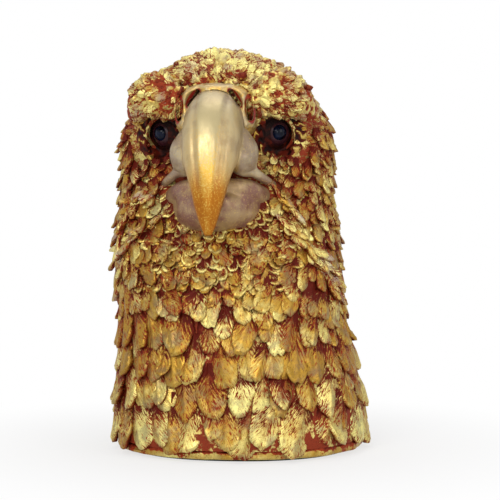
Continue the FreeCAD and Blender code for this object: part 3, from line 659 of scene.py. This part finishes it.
def add_feathers(name, flock, kind, seed, root_bole_and_shade=0.6, rim=0.0, gilding=FEATHER_GILT, nodes=()):
    """Carves a flock, with how bare its roots are (red bole and painted shade under the course above) and how
    raised its rims are, as one piece that stands for nodes.
    """
    mesh = carve(name, flock, *kind, seed, root_bole_and_shade, rim)
    new_piece(name, mesh, gilding, nodes)


def by_chance(chance, lift, curl, cup, tint, worn, flat=1.0):
    """How one feather stands and looks: lift and curl in millimetres, cup, tint and wear.

    Lift and cup are given as least and most, curl and wear as mean and spread."""
    return {
        "lift": chance.uniform(*lift) * MM,
        "curl": chance.normal(*curl) * MM,
        "cup": chance.uniform(*cup) * flat,
        "tint": tint + chance.normal(0, 0.2),
        "worn": chance.normal(*worn),
    }


def turned(out, along, degrees):
    """Direction along, turned about out."""
    angle = math.radians(degrees)
    return along * math.cos(angle) + np.cross(out, along) * math.sin(angle)


def sweep_outwards(root):
    """Degrees that a feather is turned outwards, beside the bib and in the low courses."""
    x = root[0] - HEAD_AXIS
    front = ramp(0.15, 0.7, ahead(root))
    beside = ramp(14 * MM, 50 * MM, abs(x))
    high = ramp(70 * MM, 150 * MM, root[2]) * (1 - ramp(205 * MM, 225 * MM, root[2]))
    low = ramp(5 * MM, 55 * MM, abs(x)) * (1 - ramp(60 * MM, 110 * MM, root[2]))
    return -math.copysign(1, x) * front * (CHEEK_SWEEP * beside * high + FOOT_FAN * low)


def neck_flock(node, chance, low_course=False, reach=1.0, broad=1.0):
    """Feathers of one course: each CAD feather, smaller ones over it, curled ones on the breast."""
    flock = Flock()
    for points in separate_solids(node):
        root, out, across, along, length, width = feather_place(points)
        breast = ramp(0.45, 0.9, ahead(root)) * ramp(88 * MM, 128 * MM, root[2])
        # painted highlight: the low courses get a paler leaf tint, standing for the strong light on the
        # lowest feathers
        low_lit_tint = 0.30 + 0.38 * (1 - ramp(20 * MM, 90 * MM, root[2]))
        sweep = sweep_outwards(root)
        cheek = ramp(0.1, 0.5, ahead(root)) * ramp(178 * MM, 195 * MM, root[2])
        rubbed = 0.22 * (cheek * (1 - ramp(236 * MM, 250 * MM, root[2])))
        flock.add(
            root + across * chance.normal(0, 0.06) * width + out * chance.uniform(0, 1.2) * MM,
            out,
            turned(out, along, sweep + chance.normal(0, 6 + 5 * breast)),
            length * chance.uniform(0.92, 1.12) * reach,
            width * chance.uniform(0.86, 1.14) * broad,
            **by_chance(
                chance, (0.8, 2.6), (0.3, 1.0), (0.08, 0.22), low_lit_tint, (0.04 + rubbed, 0.12),
                flat=1 - 1.3 * breast,
            ),
        )
        extra = int(chance.random() < 0.35) if low_course else 1 + int(round(1.6 * breast))
        for _ in range(extra):
            size = chance.uniform(0.58, 0.82) * (1 - 0.18 * breast)
            away = chance.uniform(-0.55, 0.55)
            down = chance.uniform(-0.25, 0.35)
            flock.add(
                root + across * away * width + along * down * length + out * chance.uniform(0.8, 2.0) * MM,
                out,
                turned(out, along, sweep + chance.normal(0, 8 + 14 * breast)),
                length * size,
                width * size * chance.uniform(1.05, 1.35),
                **by_chance(
                    chance, (0.8, 2.2), (0.4, 1.0), (0.10, 0.26), low_lit_tint, (0.07 + rubbed, 0.12),
                    flat=1 - 1.5 * breast,
                ),
            )
    return flock


def scattered(node, spacing, seed, keep):
    """Points spread evenly over the part of a CAD node to keep, with the outward direction there."""
    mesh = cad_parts[node].data
    co = vertices(mesh)
    corners = triangles(mesh)
    a, b, c = co[corners[:, 0]], co[corners[:, 1]], co[corners[:, 2]]
    cross = np.cross(b - a, c - a)
    area = np.linalg.norm(cross, axis=1) / 2
    chance = np.random.default_rng(seed)
    tries = int(6 * area.sum() / spacing**2)
    pick = chance.choice(len(area), tries, p=area / area.sum())
    r1, r2 = np.sqrt(chance.random(tries)), chance.random(tries)
    points = (1 - r1)[:, None] * a[pick] + (r1 * (1 - r2))[:, None] * b[pick] + (r1 * r2)[:, None] * c[pick]
    normals = unit(cross[pick] + 1e-12)
    wanted = keep(points, normals)
    points, normals = points[wanted], normals[wanted]
    taken, chosen = {}, []
    for i, point in enumerate(points):
        cell = tuple(np.floor(point / spacing).astype(int))
        near = [
            j
            for dx in (-1, 0, 1) for dy in (-1, 0, 1) for dz in (-1, 0, 1)
            for j in taken.get((cell[0] + dx, cell[1] + dy, cell[2] + dz), ())
        ]
        if all(((points[j] - point) ** 2).sum() > spacing**2 for j in near):
            taken.setdefault(cell, []).append(i)
            chosen.append(i)
    return points[chosen], normals[chosen]


def way_of_head(point):
    """Direction in which the small feathers of the face and the skull lie."""
    x, y, z = point[0] - HEAD_AXIS, point[1], point[2]
    side = math.copysign(1, x)
    if z > EYE_HEIGHT + 5 * MM:
        return np.array([0.75 * side * min(abs(x) / (45 * MM), 1), 0.9, -0.25])
    gape = np.array([side * 22 * MM, -70 * MM, MOUTH + 4 * MM])
    away = unit(np.array([x, y, z]) - gape)
    return away + np.array([0.25 * side, 0.1, -0.55])


def tuft_flock(points, normals, chance, length, width, seat=0.6 * MM, wander=18, worn=0.0, tint=0.5):
    """Small feathers rooted at points, a seat deep, that lie the way of the head and wander by degrees."""
    flock = Flock()
    for point, out in zip(points, normals):
        way = way_of_head(point)
        way = way - out * (way @ out)
        if np.linalg.norm(way) < 1e-3:
            continue
        way = turned(out, unit(way), chance.normal(0, wander))
        size = chance.uniform(0.75, 1.35)
        flock.add(
            point - out * seat - way * 0.3 * length,
            out,
            way,
            length * size,
            width * size * chance.uniform(0.85, 1.2),
            **by_chance(chance, (0.6, 1.8), (0.1, 0.5), (0.12, 0.30), tint, (worn, 0.1)),
        )
    return flock


def dress_neck_and_head():
    chance = np.random.default_rng(11)
    for prefix, count in (("neck_feathers", 8), ("head_feathers", 6)):
        for number in range(1, count + 1):
            node = f"{prefix}_{number}"
            big = prefix == "neck_feathers" and number <= 4
            lowest = node == "neck_feathers_1"
            reach, broad = (1.12, 1.34) if lowest else (1.0, 1.12 if big else 1.0)
            flock = neck_flock(node, chance, big, reach, broad)
            seed = 100 * number + len(prefix) + count
            add_feathers(node + "_carved", flock, BIG if big else SMALL, seed, nodes=(node,))


def dress_crown():
    chance = np.random.default_rng(23)
    for number in range(1, 7):
        node = f"crown_feathers_{number}"
        flock = Flock()
        for points in separate_solids(node):
            root, out, across, along, length, width = feather_place(points)
            for _ in range(4):
                size = chance.uniform(0.70, 1.15)
                aside, down = chance.uniform(-0.6, 0.6), chance.uniform(-0.4, 0.4)
                flock.add(
                    root + across * aside * width + along * down * length - out * chance.uniform(0, 1.2) * MM,
                    out,
                    turned(out, along, chance.normal(0, 20)),
                    length * size,
                    width * size * chance.uniform(1.0, 1.35),
                    **by_chance(chance, (0.3, 1.3), (-0.3, 0.5), (0.14, 0.34), 0.80, (0.10, 0.12)),
                )
        add_feathers(node + "_carved", flock, CROWN, 900 + number, 0.3, 0.0, CROWN_GILT, (node,))


def dress_skull():
    """Small tufts over whatever the crown's rows leave bare."""
    def on_top(points, normals):
        return (points[:, 2] > 250 * MM) & (normals[:, 2] > 0.2)

    chance = np.random.default_rng(131)
    points, normals = scattered("head_casting", 5.2 * MM, 132, on_top)
    flock = tuft_flock(points, normals, chance, 12 * MM, 8 * MM, seat=0.2 * MM, tint=0.80, worn=0.16)
    add_feathers("skull_tufts", flock, SKULL_TUFT, 340, 0.3, gilding=CROWN_GILT)


def roughened(mesh, sizes, seed):
    """Pushes a mesh in and out by lumps of each size and height, and returns how high each corner is."""
    co, out = vertices(mesh), vertex_normals(mesh)
    total = np.zeros(len(co))
    for i, (size, height) in enumerate(sizes):
        total += lumps(co, size * MM, seed + i) * height * MM
    set_vertices(mesh, co + out * total[:, None])
    return total / sum(height * MM for _, height in sizes)


def drawn_in(co):
    """Brow's outer end, drawn in and up so that it runs into the skull."""
    past = np.maximum(from_axis(co) - 46 * MM, 0)
    moved = co.copy()
    moved[:, 0] -= np.sign(co[:, 0] - HEAD_AXIS) * past * 0.34
    moved[:, 2] += 0.10 * past
    return moved


def dress_brows():
    def on_brow(points, normals):
        return (points[:, 1] < 12 * MM) & (from_axis(points) < 62 * MM)

    for side in ("left", "right"):
        node = side + "_brow"
        mesh = reworked(node, 0.7 * MM, 4)
        set_vertices(mesh, drawn_in(vertices(mesh)))
        height = roughened(mesh, ((8, 0.7), (3.2, 0.9), (1.6, 0.4)), 41)
        add_values(mesh, rise=0.42 + 0.8 * height, tint=0.4 + 0.4 * height)
        new_piece(node + "_carved", mesh, TUFT_GILT, (node,))
        chance = np.random.default_rng(51)
        points, normals = scattered(node, 3.9 * MM, 61, on_brow)
        flock = tuft_flock(drawn_in(points), normals, chance, 11.5 * MM, 5.4 * MM, tint=0.62, worn=0.12)
        add_feathers(node + "_tufts", flock, BROW_TUFT, 70, 0.35, gilding=CROWN_GILT)


def dress_face():
    """Small feathers over the cheeks, the lores and the throat, and the cheek nodes' own."""
    for side in ("left", "right"):
        node = side + "_cheek_feathers"
        flock = neck_flock(node, np.random.default_rng(81))
        add_feathers(node + "_carved", flock, CHEEK, 300, nodes=(node,))

    def on_face(points, normals):
        x, y, z = from_axis(points), points[:, 1], points[:, 2]
        away = points - np.array(CORE)
        outward = (normals * away).sum(axis=1) > 0.15 * np.linalg.norm(away, axis=1)
        front = (y < -14 * MM) & (z > 147 * MM) & (z < 262 * MM)
        pit = ((x - 35 * MM) / (20 * MM)) ** 2 + ((z - EYE_HEIGHT + 4 * MM) / (18 * MM)) ** 2 < 1
        beak = (x < 22 * MM) & (z > 160 * MM)
        return outward & front & ~pit & ~beak

    def under_chin(points, normals):
        x, y, z = from_axis(points), points[:, 1], points[:, 2]
        return (x < 50 * MM) & (y < -30 * MM) & (z > 120 * MM) & (z < 176 * MM) & (normals[:, 1] < 0.1)

    chance = np.random.default_rng(91)
    bib = Flock()
    for node, seed in (("neck_casting", 93), ("head_casting", 94)):
        points, normals = scattered(node, 4.6 * MM, seed, under_chin)
        curls = tuft_flock(
            points, normals, chance, 12.5 * MM, 7.5 * MM, seat=-1.2 * MM, tint=0.5, worn=0.16
        )
        bib.rows += curls.rows
    add_feathers("bib_curls", bib, BIB_CURL, 330, 0.4, rim=0.8)
    points, normals = scattered("head_casting", 4.0 * MM, 92, on_face)
    by_eye = points[:, 2] > MOUTH + 6 * MM
    strands = tuft_flock(
        points[by_eye], normals[by_eye], chance, 15 * MM, 4.2 * MM, wander=10, worn=0.30, tint=0.3
    )
    curls = tuft_flock(points[~by_eye], normals[~by_eye], chance, 15 * MM, 5.6 * MM, wander=12, tint=0.45)
    add_feathers("cheek_strands", strands, FACE_STRAND, 310, 0.4)
    add_feathers("throat_curls", curls, FACE_STRAND, 320, 0.4, rim=0.45)


# ---------------------------------------------------------------- ruff and eye sockets

def seen_from_front(nodes):
    """Finds where a line straight back from the front meets any of the nodes, and which way that faces."""
    trees = []
    for node in nodes:
        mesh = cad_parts[node].data
        faces = [p.vertices for p in mesh.polygons]
        trees.append(BVHTree.FromPolygons([v.co for v in mesh.vertices], faces))

    def meet(x, z):
        hits = [tree.ray_cast(Vector((x, -0.3, z)), Vector((0, 1, 0))) for tree in trees]
        hits = [hit for hit in hits if hit[0] is not None]
        if not hits:
            return np.array([x, 0.0, z]), np.array([0.0, -1.0, 0.0])
        first = min(hits, key=lambda hit: hit[0].y)
        facing = np.array(first[1]) * (-1 if first[1].y > 0 else 1)
        return np.array(first[0]), facing
    return meet


RUFF = (                  # lines of raised feathers: millimetres from the middle plane, and height
    ((-36, 189), (-48, 181), (-60, 172), (-67, 160), (-68, 148)),
    ((-34, 166), (-48, 157), (-62, 146), (-70, 128), (-74, 108)),
    ((37, 187), (47, 175), (54, 160), (60, 146), (68, 136)),
    ((40, 166), (52, 152), (64, 140), (74, 124), (79, 106)),
)


def dress_ruff():
    """Long feathers end to end along the edge of the bib, from the corners of the mouth down."""
    meet = seen_from_front(("neck_casting", "head_casting"))
    chance = np.random.default_rng(141)
    flock = Flock()
    for line in RUFF:
        line = np.array(line, float) * MM
        steps = np.linspace(0, len(line) - 1, 11)
        xs = np.interp(steps, range(len(line)), line[:, 0]) + HEAD_AXIS
        zs = np.interp(steps, range(len(line)), line[:, 1])
        for i in range(10):
            here, out = meet(xs[i], zs[i])
            there, _ = meet(xs[i + 1], zs[i + 1])
            way = there - here
            way = unit(way - out * (way @ out))
            for _ in range(2):
                flock.add(
                    here + out * chance.uniform(1.8, 3.4) * MM + chance.normal(0, 1.6, 3) * MM,
                    out,
                    turned(out, way, chance.normal(0, 9)),
                    chance.uniform(15, 25) * MM,
                    chance.uniform(4.0, 6.5) * MM,
                    **by_chance(chance, (1.0, 2.6), (0.4, 0.8), (0.15, 0.4), 0.55, (0.05, 0.1)),
                )
    add_feathers("ruff_strands", flock, RUFF_STRAND, 350, 0.3, gilding=RUFF_GILT)


def ring_faces(rings, spokes):
    """Faces of a sheet between closed rings of corners, each inside the next."""
    def at(ring, spoke):
        return ring * spokes + spoke % spokes
    return [
        (at(r, c), at(r, c + 1), at(r + 1, c + 1), at(r + 1, c))
        for r in range(rings - 1) for c in range(spokes)
    ]


EYE_GAZE = math.radians(34.0)     # how far each eye looks outwards
LID = 0.14                # share of the skin's way from the eye to the face that is the lid
FOLDS = 11                # folds of skin round an eye


def dress_sockets():
    """Folded skin from the rim of each eye out to the face, with the lids at its inner edge."""
    meet = seen_from_front(("head_casting",))
    rings, spokes = 44, 150
    share = np.linspace(0, 1, rings)[:, None]
    angle = np.linspace(0, 2 * np.pi, spokes, endpoint=False)[None, :]
    outwards, up = np.cos(angle), np.sin(angle)
    for side, name in ((1, "left"), (-1, "right")):
        eye = np.array(sum((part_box(name + "_eyeball")[i] for i in (0, 1)), Vector()) / 2)
        ball = (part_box(name + "_eyeball")[1].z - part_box(name + "_eyeball")[0].z) / 2
        look = unit(np.array([math.sin(EYE_GAZE) * side, -math.cos(EYE_GAZE), -0.06]))
        aside = unit(np.cross([0, 0, 1.0], look)) * -1
        upright = np.cross(aside, look) * -1
        if upright[2] < 0:
            upright = -upright
        if aside[0] * side < 0:
            aside = -aside
        cone = np.radians(41 + 16 * np.maximum(-up, 0) ** 2 - 5 * np.maximum(up, 0) ** 2)

        def on_ball(widen, radius):
            tilt = cone + math.radians(widen)
            way = (
                np.cos(tilt)[..., None] * look
                + (np.sin(tilt) * outwards)[..., None] * aside
                + (np.sin(tilt) * up)[..., None] * upright
            )
            return eye + way * radius

        # skin: lid on the ball, then a curve out to where the face begins
        lid_in, lid_out = on_ball(0, ball + 0.35 * MM), on_ball(16, ball + 2.0 * MM)
        far = np.zeros(angle.shape + (3,))
        far[..., 0] = eye[0] + side * outwards * np.where(outwards > 0, 23.0, 13.0) * MM
        far[..., 2] = eye[2] - 1 * MM + up * np.where(up > 0, 15.0, 22.0) * MM
        for i in range(spokes):
            far[0, i, 1] = min(meet(far[0, i, 0], far[0, i, 2])[0][1], eye[1] + 12 * MM) + 0.3 * MM
        t = share[..., None]
        lid = lid_in + (lid_out - lid_in) * ramp(0, LID, t)
        bend = (lid_out + far) / 2
        bend[..., 1] = np.maximum(lid_out[..., 1], far[..., 1]) + 1.0 * MM
        s = np.clip((t - LID) / (1 - LID), 0, 1)
        skin = (1 - s) ** 2 * lid_out + 2 * s * (1 - s) * bend + s**2 * far
        co = np.where(t < LID, lid, skin)
        for r in range(rings // 3, rings - 2):
            for i in range(spokes):
                co[r, i, 1] = min(co[r, i, 1], meet(co[r, i, 0], co[r, i, 2])[0][1] - 0.3 * MM)
        for _ in range(4):
            depth = co[..., 1]
            beside = np.roll(depth, 1, 1)[8:-1], np.roll(depth, -1, 1)[8:-1]
            co[8:-1, :, 1] = (depth[7:-2] + depth[9:] + beside[0] + beside[1]) / 4

        # folds that fan out from the eye
        turns = np.broadcast_arrays(share * 5, outwards * 2, up * 2 + side)
        fan = angle * FOLDS + 2.2 * lumps(np.stack(turns, -1), 1.0, 401)
        fold = (0.5 + 0.5 * np.cos(fan + 2.6 * share * side)) ** 1.5
        strength = ramp(0.16, 0.5, share) * np.ones_like(angle)
        co[..., 1] -= (fold * strength * 2.0 + 0.6 * lumps(co, 4 * MM, 402) * strength) * MM
        mesh = bpy.data.meshes.new(name + "_socket_skin")
        mesh.from_pydata(co.reshape(-1, 3).tolist(), [], ring_faces(rings, spokes))
        work = bmesh.new()
        work.from_mesh(mesh)
        bmesh.ops.recalc_face_normals(work, faces=work.faces)
        if sum(f.normal.y for f in work.faces) > 0:
            bmesh.ops.reverse_faces(work, faces=work.faces)
        work.to_mesh(mesh)
        work.free()
        smooth_shaded(mesh)
        # painted shade: rise falls near the eye and above it, so the skin darkens where the brow's shadow
        # falls; raised folds keep leaf
        rise = fold * strength * 0.75 + 0.25 * ramp(0.5, 1.0, share) - 0.35 * np.maximum(up, 0) * (1 - share)
        add_values(mesh, rise=rise, tint=0.05 + 0.25 * fold * strength)
        new_piece(name + "_socket_skin", mesh, SHADED_SOCKET_GILT, (name + "_eyelid",))


# ---------------------------------------------------------------- beak, cere and rim

# ellipsoids melted into the beak: centre and radii in millimetres, x from the head's middle plane
LOBE = (
    ((16.0, -70.0, 222.0), (5.5, 8.0, 8.0)),
    ((20.0, -71.0, 207.5), (10.5, 12.5, 13.5)),
)
UNDER_MOUTH = (
    ((0.0, -76.5, 183.0), (8.0, 5.5, 7.5)),
    ((14.0, -73.0, 183.5), (8.0, 6.0, 7.5)),
    ((24.0, -63.5, 182.5), (6.0, 6.0, 7.5)),
    ((32.0, -52.5, 178.5), (5.0, 5.5, 7.0)),
    ((37.5, -43.5, 175.5), (4.0, 4.5, 6.0)),
)
CHIN = (
    ((0.0, -74.0, 172.0), (15.0, 9.0, 14.0)),
    ((12.0, -70.5, 172.0), (12.0, 10.0, 13.5)),
    ((21.0, -61.0, 172.0), (8.0, 9.0, 11.5)),
    ((28.0, -50.0, 171.0), (5.0, 7.0, 9.0)),
)


# millimetres from the middle plane, height, half width and half height of each, and its lean in degrees
CERE_HOLLOWS = (
    (14.3, 245.0, 3.4, 8.5, 34.0),
    (24.6, 238.0, 3.6, 11.0, 6.0),
)


def dress_upper_beak():
    """Hooked beak with a flat ridge, a flute on each side of it and a thinner gape below the cheeks."""
    mesh = reworked("upper_beak", 0.6 * MM, 16, both_sides(beads(LOBE, 5)))
    co, out = vertices(mesh), vertex_normals(mesh)
    x = from_axis(co)
    thin = ramp(19 * MM, 26 * MM, x) * ramp(14 * MM, 8 * MM, co[:, 2] - MOUTH)
    for axis, heights in ((1, (-76, -66, -53, -40)), (2, (199, 194.5, 188.5, 185))):
        centre = np.interp(x, np.array([17, 27, 36, 42]) * MM, np.array(heights) * MM)
        co[:, axis] += (centre - co[:, axis]) * 0.38 * thin
    up = (co[:, 2] - MOUTH) / MM
    band = (2.0 + 6.0 * ramp(-38, 50, up)) * MM
    facing = ramp(0.1, 0.5, -out[:, 1])
    flat = (1 - ramp(0.7, 1.15, x / band)) * facing
    flute = np.exp(-(((x - band) / MM - 3.0) / 2.2) ** 2) * facing * ramp(-25, 5, up)
    co -= out * (flute * 0.9 * MM)[:, None]
    co += out * (lumps(co, 10 * MM, 1) * 0.3 * MM + lumps(co * [1, 1, 0.3], 1.8 * MM, 2) * 0.05 * MM)[:, None]
    set_vertices(mesh, co)
    body = (14.0 + 6.0 * ramp(-10, 40, up)) * MM
    behind = ramp(-84 * MM, -76 * MM, co[:, 1])
    skin = np.clip(ramp(1.0, 1.25, x / body) + behind * ramp(0.72, 0.95, x / body), 0, 1) * ramp(-22, -12, up)
    skin = np.maximum(skin, 0.55 * ramp(0.8, 1.3, x / band) * ramp(-14, 12, up) + 0.35 * ramp(40, 54, up))
    tint = 0.78 * ramp(-26, 24, up) + 0.36 * ramp(20, 62, up) + 0.16 * flat - 0.10 * flute
    add_values(mesh, rise=0.9 + 0.2 * lumps(co, 4 * MM, 3), tint=tint, skin=skin)
    new_piece("upper_beak_carved", mesh, BEAK_GILT, ("upper_beak",))


def dress_lower_beak():
    melted = np.concatenate([both_sides(beads(UNDER_MOUTH, 18)), both_sides(beads(CHIN, 12))])
    mesh = reworked("lower_beak", 0.6 * MM, 30, melted)
    height = roughened(mesh, ((9, 0.5), (3, 0.15)), 5)
    whole = np.ones(len(height))
    add_values(mesh, rise=whole, tint=0.15 + 0.25 * height, skin=whole)
    new_piece("lower_beak_carved", mesh, BEAK_GILT, ("lower_beak",))


def dress_cere():
    """Collar round the beak's root, with a nostril and a hollow pressed into each side."""
    mesh = reworked("cere", 0.5 * MM, 4)
    height = roughened(mesh, ((7, 0.5), (2.2, 0.25)), 15)
    co, out = vertices(mesh), vertex_normals(mesh)
    x = from_axis(co) / MM
    z = co[:, 2] / MM
    scoop = np.zeros(len(co))
    for px, pz, wide, tall, lean in CERE_HOLLOWS:
        turn = math.radians(lean)
        a = (x - px) * math.cos(turn) + (z - pz) * math.sin(turn)
        b = (z - pz) * math.cos(turn) - (x - px) * math.sin(turn)
        scoop = np.maximum(scoop, np.exp(-((a / wide) ** 2 + (b / tall) ** 2) ** 1.5))
    scoop *= ramp(-0.1, 0.25, -out[:, 1])
    co[:, 1] += scoop * 4.5 * MM
    set_vertices(mesh, co)
    rise = 1.0 - 1.15 * ramp(0.22, 0.55, scoop) + 0.2 * height
    add_values(mesh, rise=rise, tint=0.70 + 0.4 * height, skin=0.12 + 0.6 * np.clip(height + 0.3, 0, 1))
    new_piece("cere_carved", mesh, BEAK_GILT, ("cere",))


def dress_rim():
    """The plate's edge, uneven where the feathers of the lowest course were cast down to it."""
    mesh = reworked("base_plate", 0.9 * MM, 3)
    co = vertices(mesh)
    centre = np.array([sum(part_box("base_plate")[i][k] for i in (0, 1)) / 2 for k in (0, 1)])
    away = unit(co[:, :2] - centre)
    reach = np.linalg.norm(co[:, :2] - centre, axis=1)
    edge = ramp(0.80, 0.95, reach / (reach.max() * 0.95))
    push = lumps(co * [1, 1, 0.4], 9 * MM, 31) * 1.1 * MM + lumps(co, 3 * MM, 32) * 0.35 * MM
    co[:, :2] += away * (edge * push)[:, None]
    co[:, 2] += edge * ramp(4 * MM, 7 * MM, co[:, 2]) * lumps(co * [1, 1, 0], 11 * MM, 33) * 2.4 * MM
    set_vertices(mesh, co)
    rise = 0.75 - 0.5 * ramp(4.5 * MM, 8 * MM, co[:, 2]) + 0.3 * lumps(co, 6 * MM, 34)
    add_values(mesh, rise=rise, tint=0.45 + 0.3 * lumps(co, 12 * MM, 35))
    new_piece("base_plate_cast", mesh, RIM_GILT, ("base_plate",))


def paint(nodes, material):
    for name in nodes:
        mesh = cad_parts[name].data
        for index in range(len(mesh.materials)):
            mesh.materials[index] = material


def dress_plain_nodes():
    paint(("neck_casting", "head_casting"), CASTING_GILT)
    paint(("base_lugs", "joint_sleeve", "joint_pins"), BRONZE)
    paint(("base_screws", "beak_stud", "beak_washer", "beak_nut", "jaw_dowels"), STEEL)
    paint(("felt_pad",), FELT)
    for side in ("left_", "right_"):
        paint((side + "eye_cup",), BRONZE)
        paint((side + "eyeball",), SHADED_EYE_ENAMEL)
        paint((side + "iris",), EYE_GLASS)


# ---------------------------------------------------------------- studio

CAMERA_TURN = 7.0         # degrees round to the eagle's left
CAMERA_AWAY = 1.0         # metres
CAMERA_HEIGHT = 155.0 * MM
CAMERA_LENS = 98.4
AIM_RIGHT = 16.8 * MM     # where the camera looks, to the right of the head's middle plane
AIM_DROP = 13.9 * MM      # and below its own height
FLOOR_REACH = 4.0
LAMPS = (                 # name, place and size in metres, and power in watts
    ("key", (-0.4, -1.3, 0.95), 0.6, 7.9),
    ("fill", (1.2, -0.9, 0.6), 0.9, 5.4),
    ("low", (0.1, -1.5, 0.30), 0.35, 2.0),
    ("top", (0.0, 0.3, 1.5), 0.8, 4.2),
)


def point_at(thing, place, target):
    thing.location = place
    thing.rotation_euler = (Vector(target) - Vector(place)).to_track_quat("-Z", "Y").to_euler()


def set_camera():
    turn = math.radians(CAMERA_TURN)
    right = Vector((math.cos(turn), math.sin(turn), 0))
    head = Vector((HEAD_AXIS, 0, CAMERA_HEIGHT))
    place = head + Vector((math.sin(turn), -math.cos(turn), 0)) * CAMERA_AWAY
    aim = head + right * AIM_RIGHT - Vector((0, 0, AIM_DROP))
    data = bpy.data.cameras.new("camera")
    data.lens = CAMERA_LENS
    data.sensor_width = 36.0
    camera = in_scene("camera", data)
    point_at(camera, place, aim)
    bpy.context.scene.camera = camera


def seen_white(tree, shader, share=1.0):
    """Mixes a shader with plain white where the eye or a reflection sees it."""
    path = tree.nodes.new("ShaderNodeLightPath").outputs
    seen = maths(tree, "MAXIMUM", path["Is Camera Ray"], path["Is Glossy Ray"])
    seen = maths(tree, "MAXIMUM", seen, path["Is Transmission Ray"])
    white = tree.nodes.new("ShaderNodeEmission")
    mix = tree.nodes.new("ShaderNodeMixShader")
    feed(tree, maths(tree, "MULTIPLY", seen, share), mix.inputs[0])
    feed(tree, shader, mix.inputs[1])
    feed(tree, white.outputs[0], mix.inputs[2])
    return mix.outputs[0]


def build_studio():
    material, tree, shader = finish("floor_white")
    shader.inputs["Base Color"].default_value = (0.9, 0.9, 0.9, 1)
    shader.inputs["Roughness"].default_value = 0.8
    distance = tree.nodes.new("ShaderNodeVectorMath")
    distance.operation = "LENGTH"
    feed(tree, on_piece(tree), distance.inputs[0])
    far = spread(tree, distance.outputs["Value"], 0.08, 0.30, 0.70, 1.0)
    feed(tree, seen_white(tree, shader.outputs[0], far), tree.nodes["Material Output"].inputs["Surface"])
    mesh = bpy.data.meshes.new("floor")
    corners = [(x * FLOOR_REACH, y * FLOOR_REACH, 0) for x, y in ((-1, -1), (1, -1), (1, 1), (-1, 1))]
    mesh.from_pydata(corners, [], [(0, 1, 2, 3)])
    mesh.materials.append(material)
    floor = in_scene("floor", mesh)
    floor.location.z = -0.2 * MM

    world = bpy.data.worlds.new("studio")
    world.use_nodes = True
    tree = world.node_tree
    soft = tree.nodes["Background"]
    soft.inputs["Color"].default_value = (1, 1, 1, 1)
    soft.inputs["Strength"].default_value = 0.40
    feed(tree, seen_white(tree, soft.outputs[0]), tree.nodes["World Output"].inputs["Surface"])
    bpy.context.scene.world = world

    for name, place, size, power in LAMPS:
        data = bpy.data.lights.new(name, "AREA")
        data.size = size
        data.energy = power
        point_at(in_scene(name, data), place, (0, 0, 0.15))
    bpy.context.scene.view_settings.view_transform = "Standard"


dress_plain_nodes()
dress_neck_and_head()
dress_crown()
dress_skull()
dress_brows()
dress_face()
dress_sockets()
dress_ruff()
dress_upper_beak()
dress_lower_beak()
dress_cere()
dress_rim()
set_camera()
build_studio()
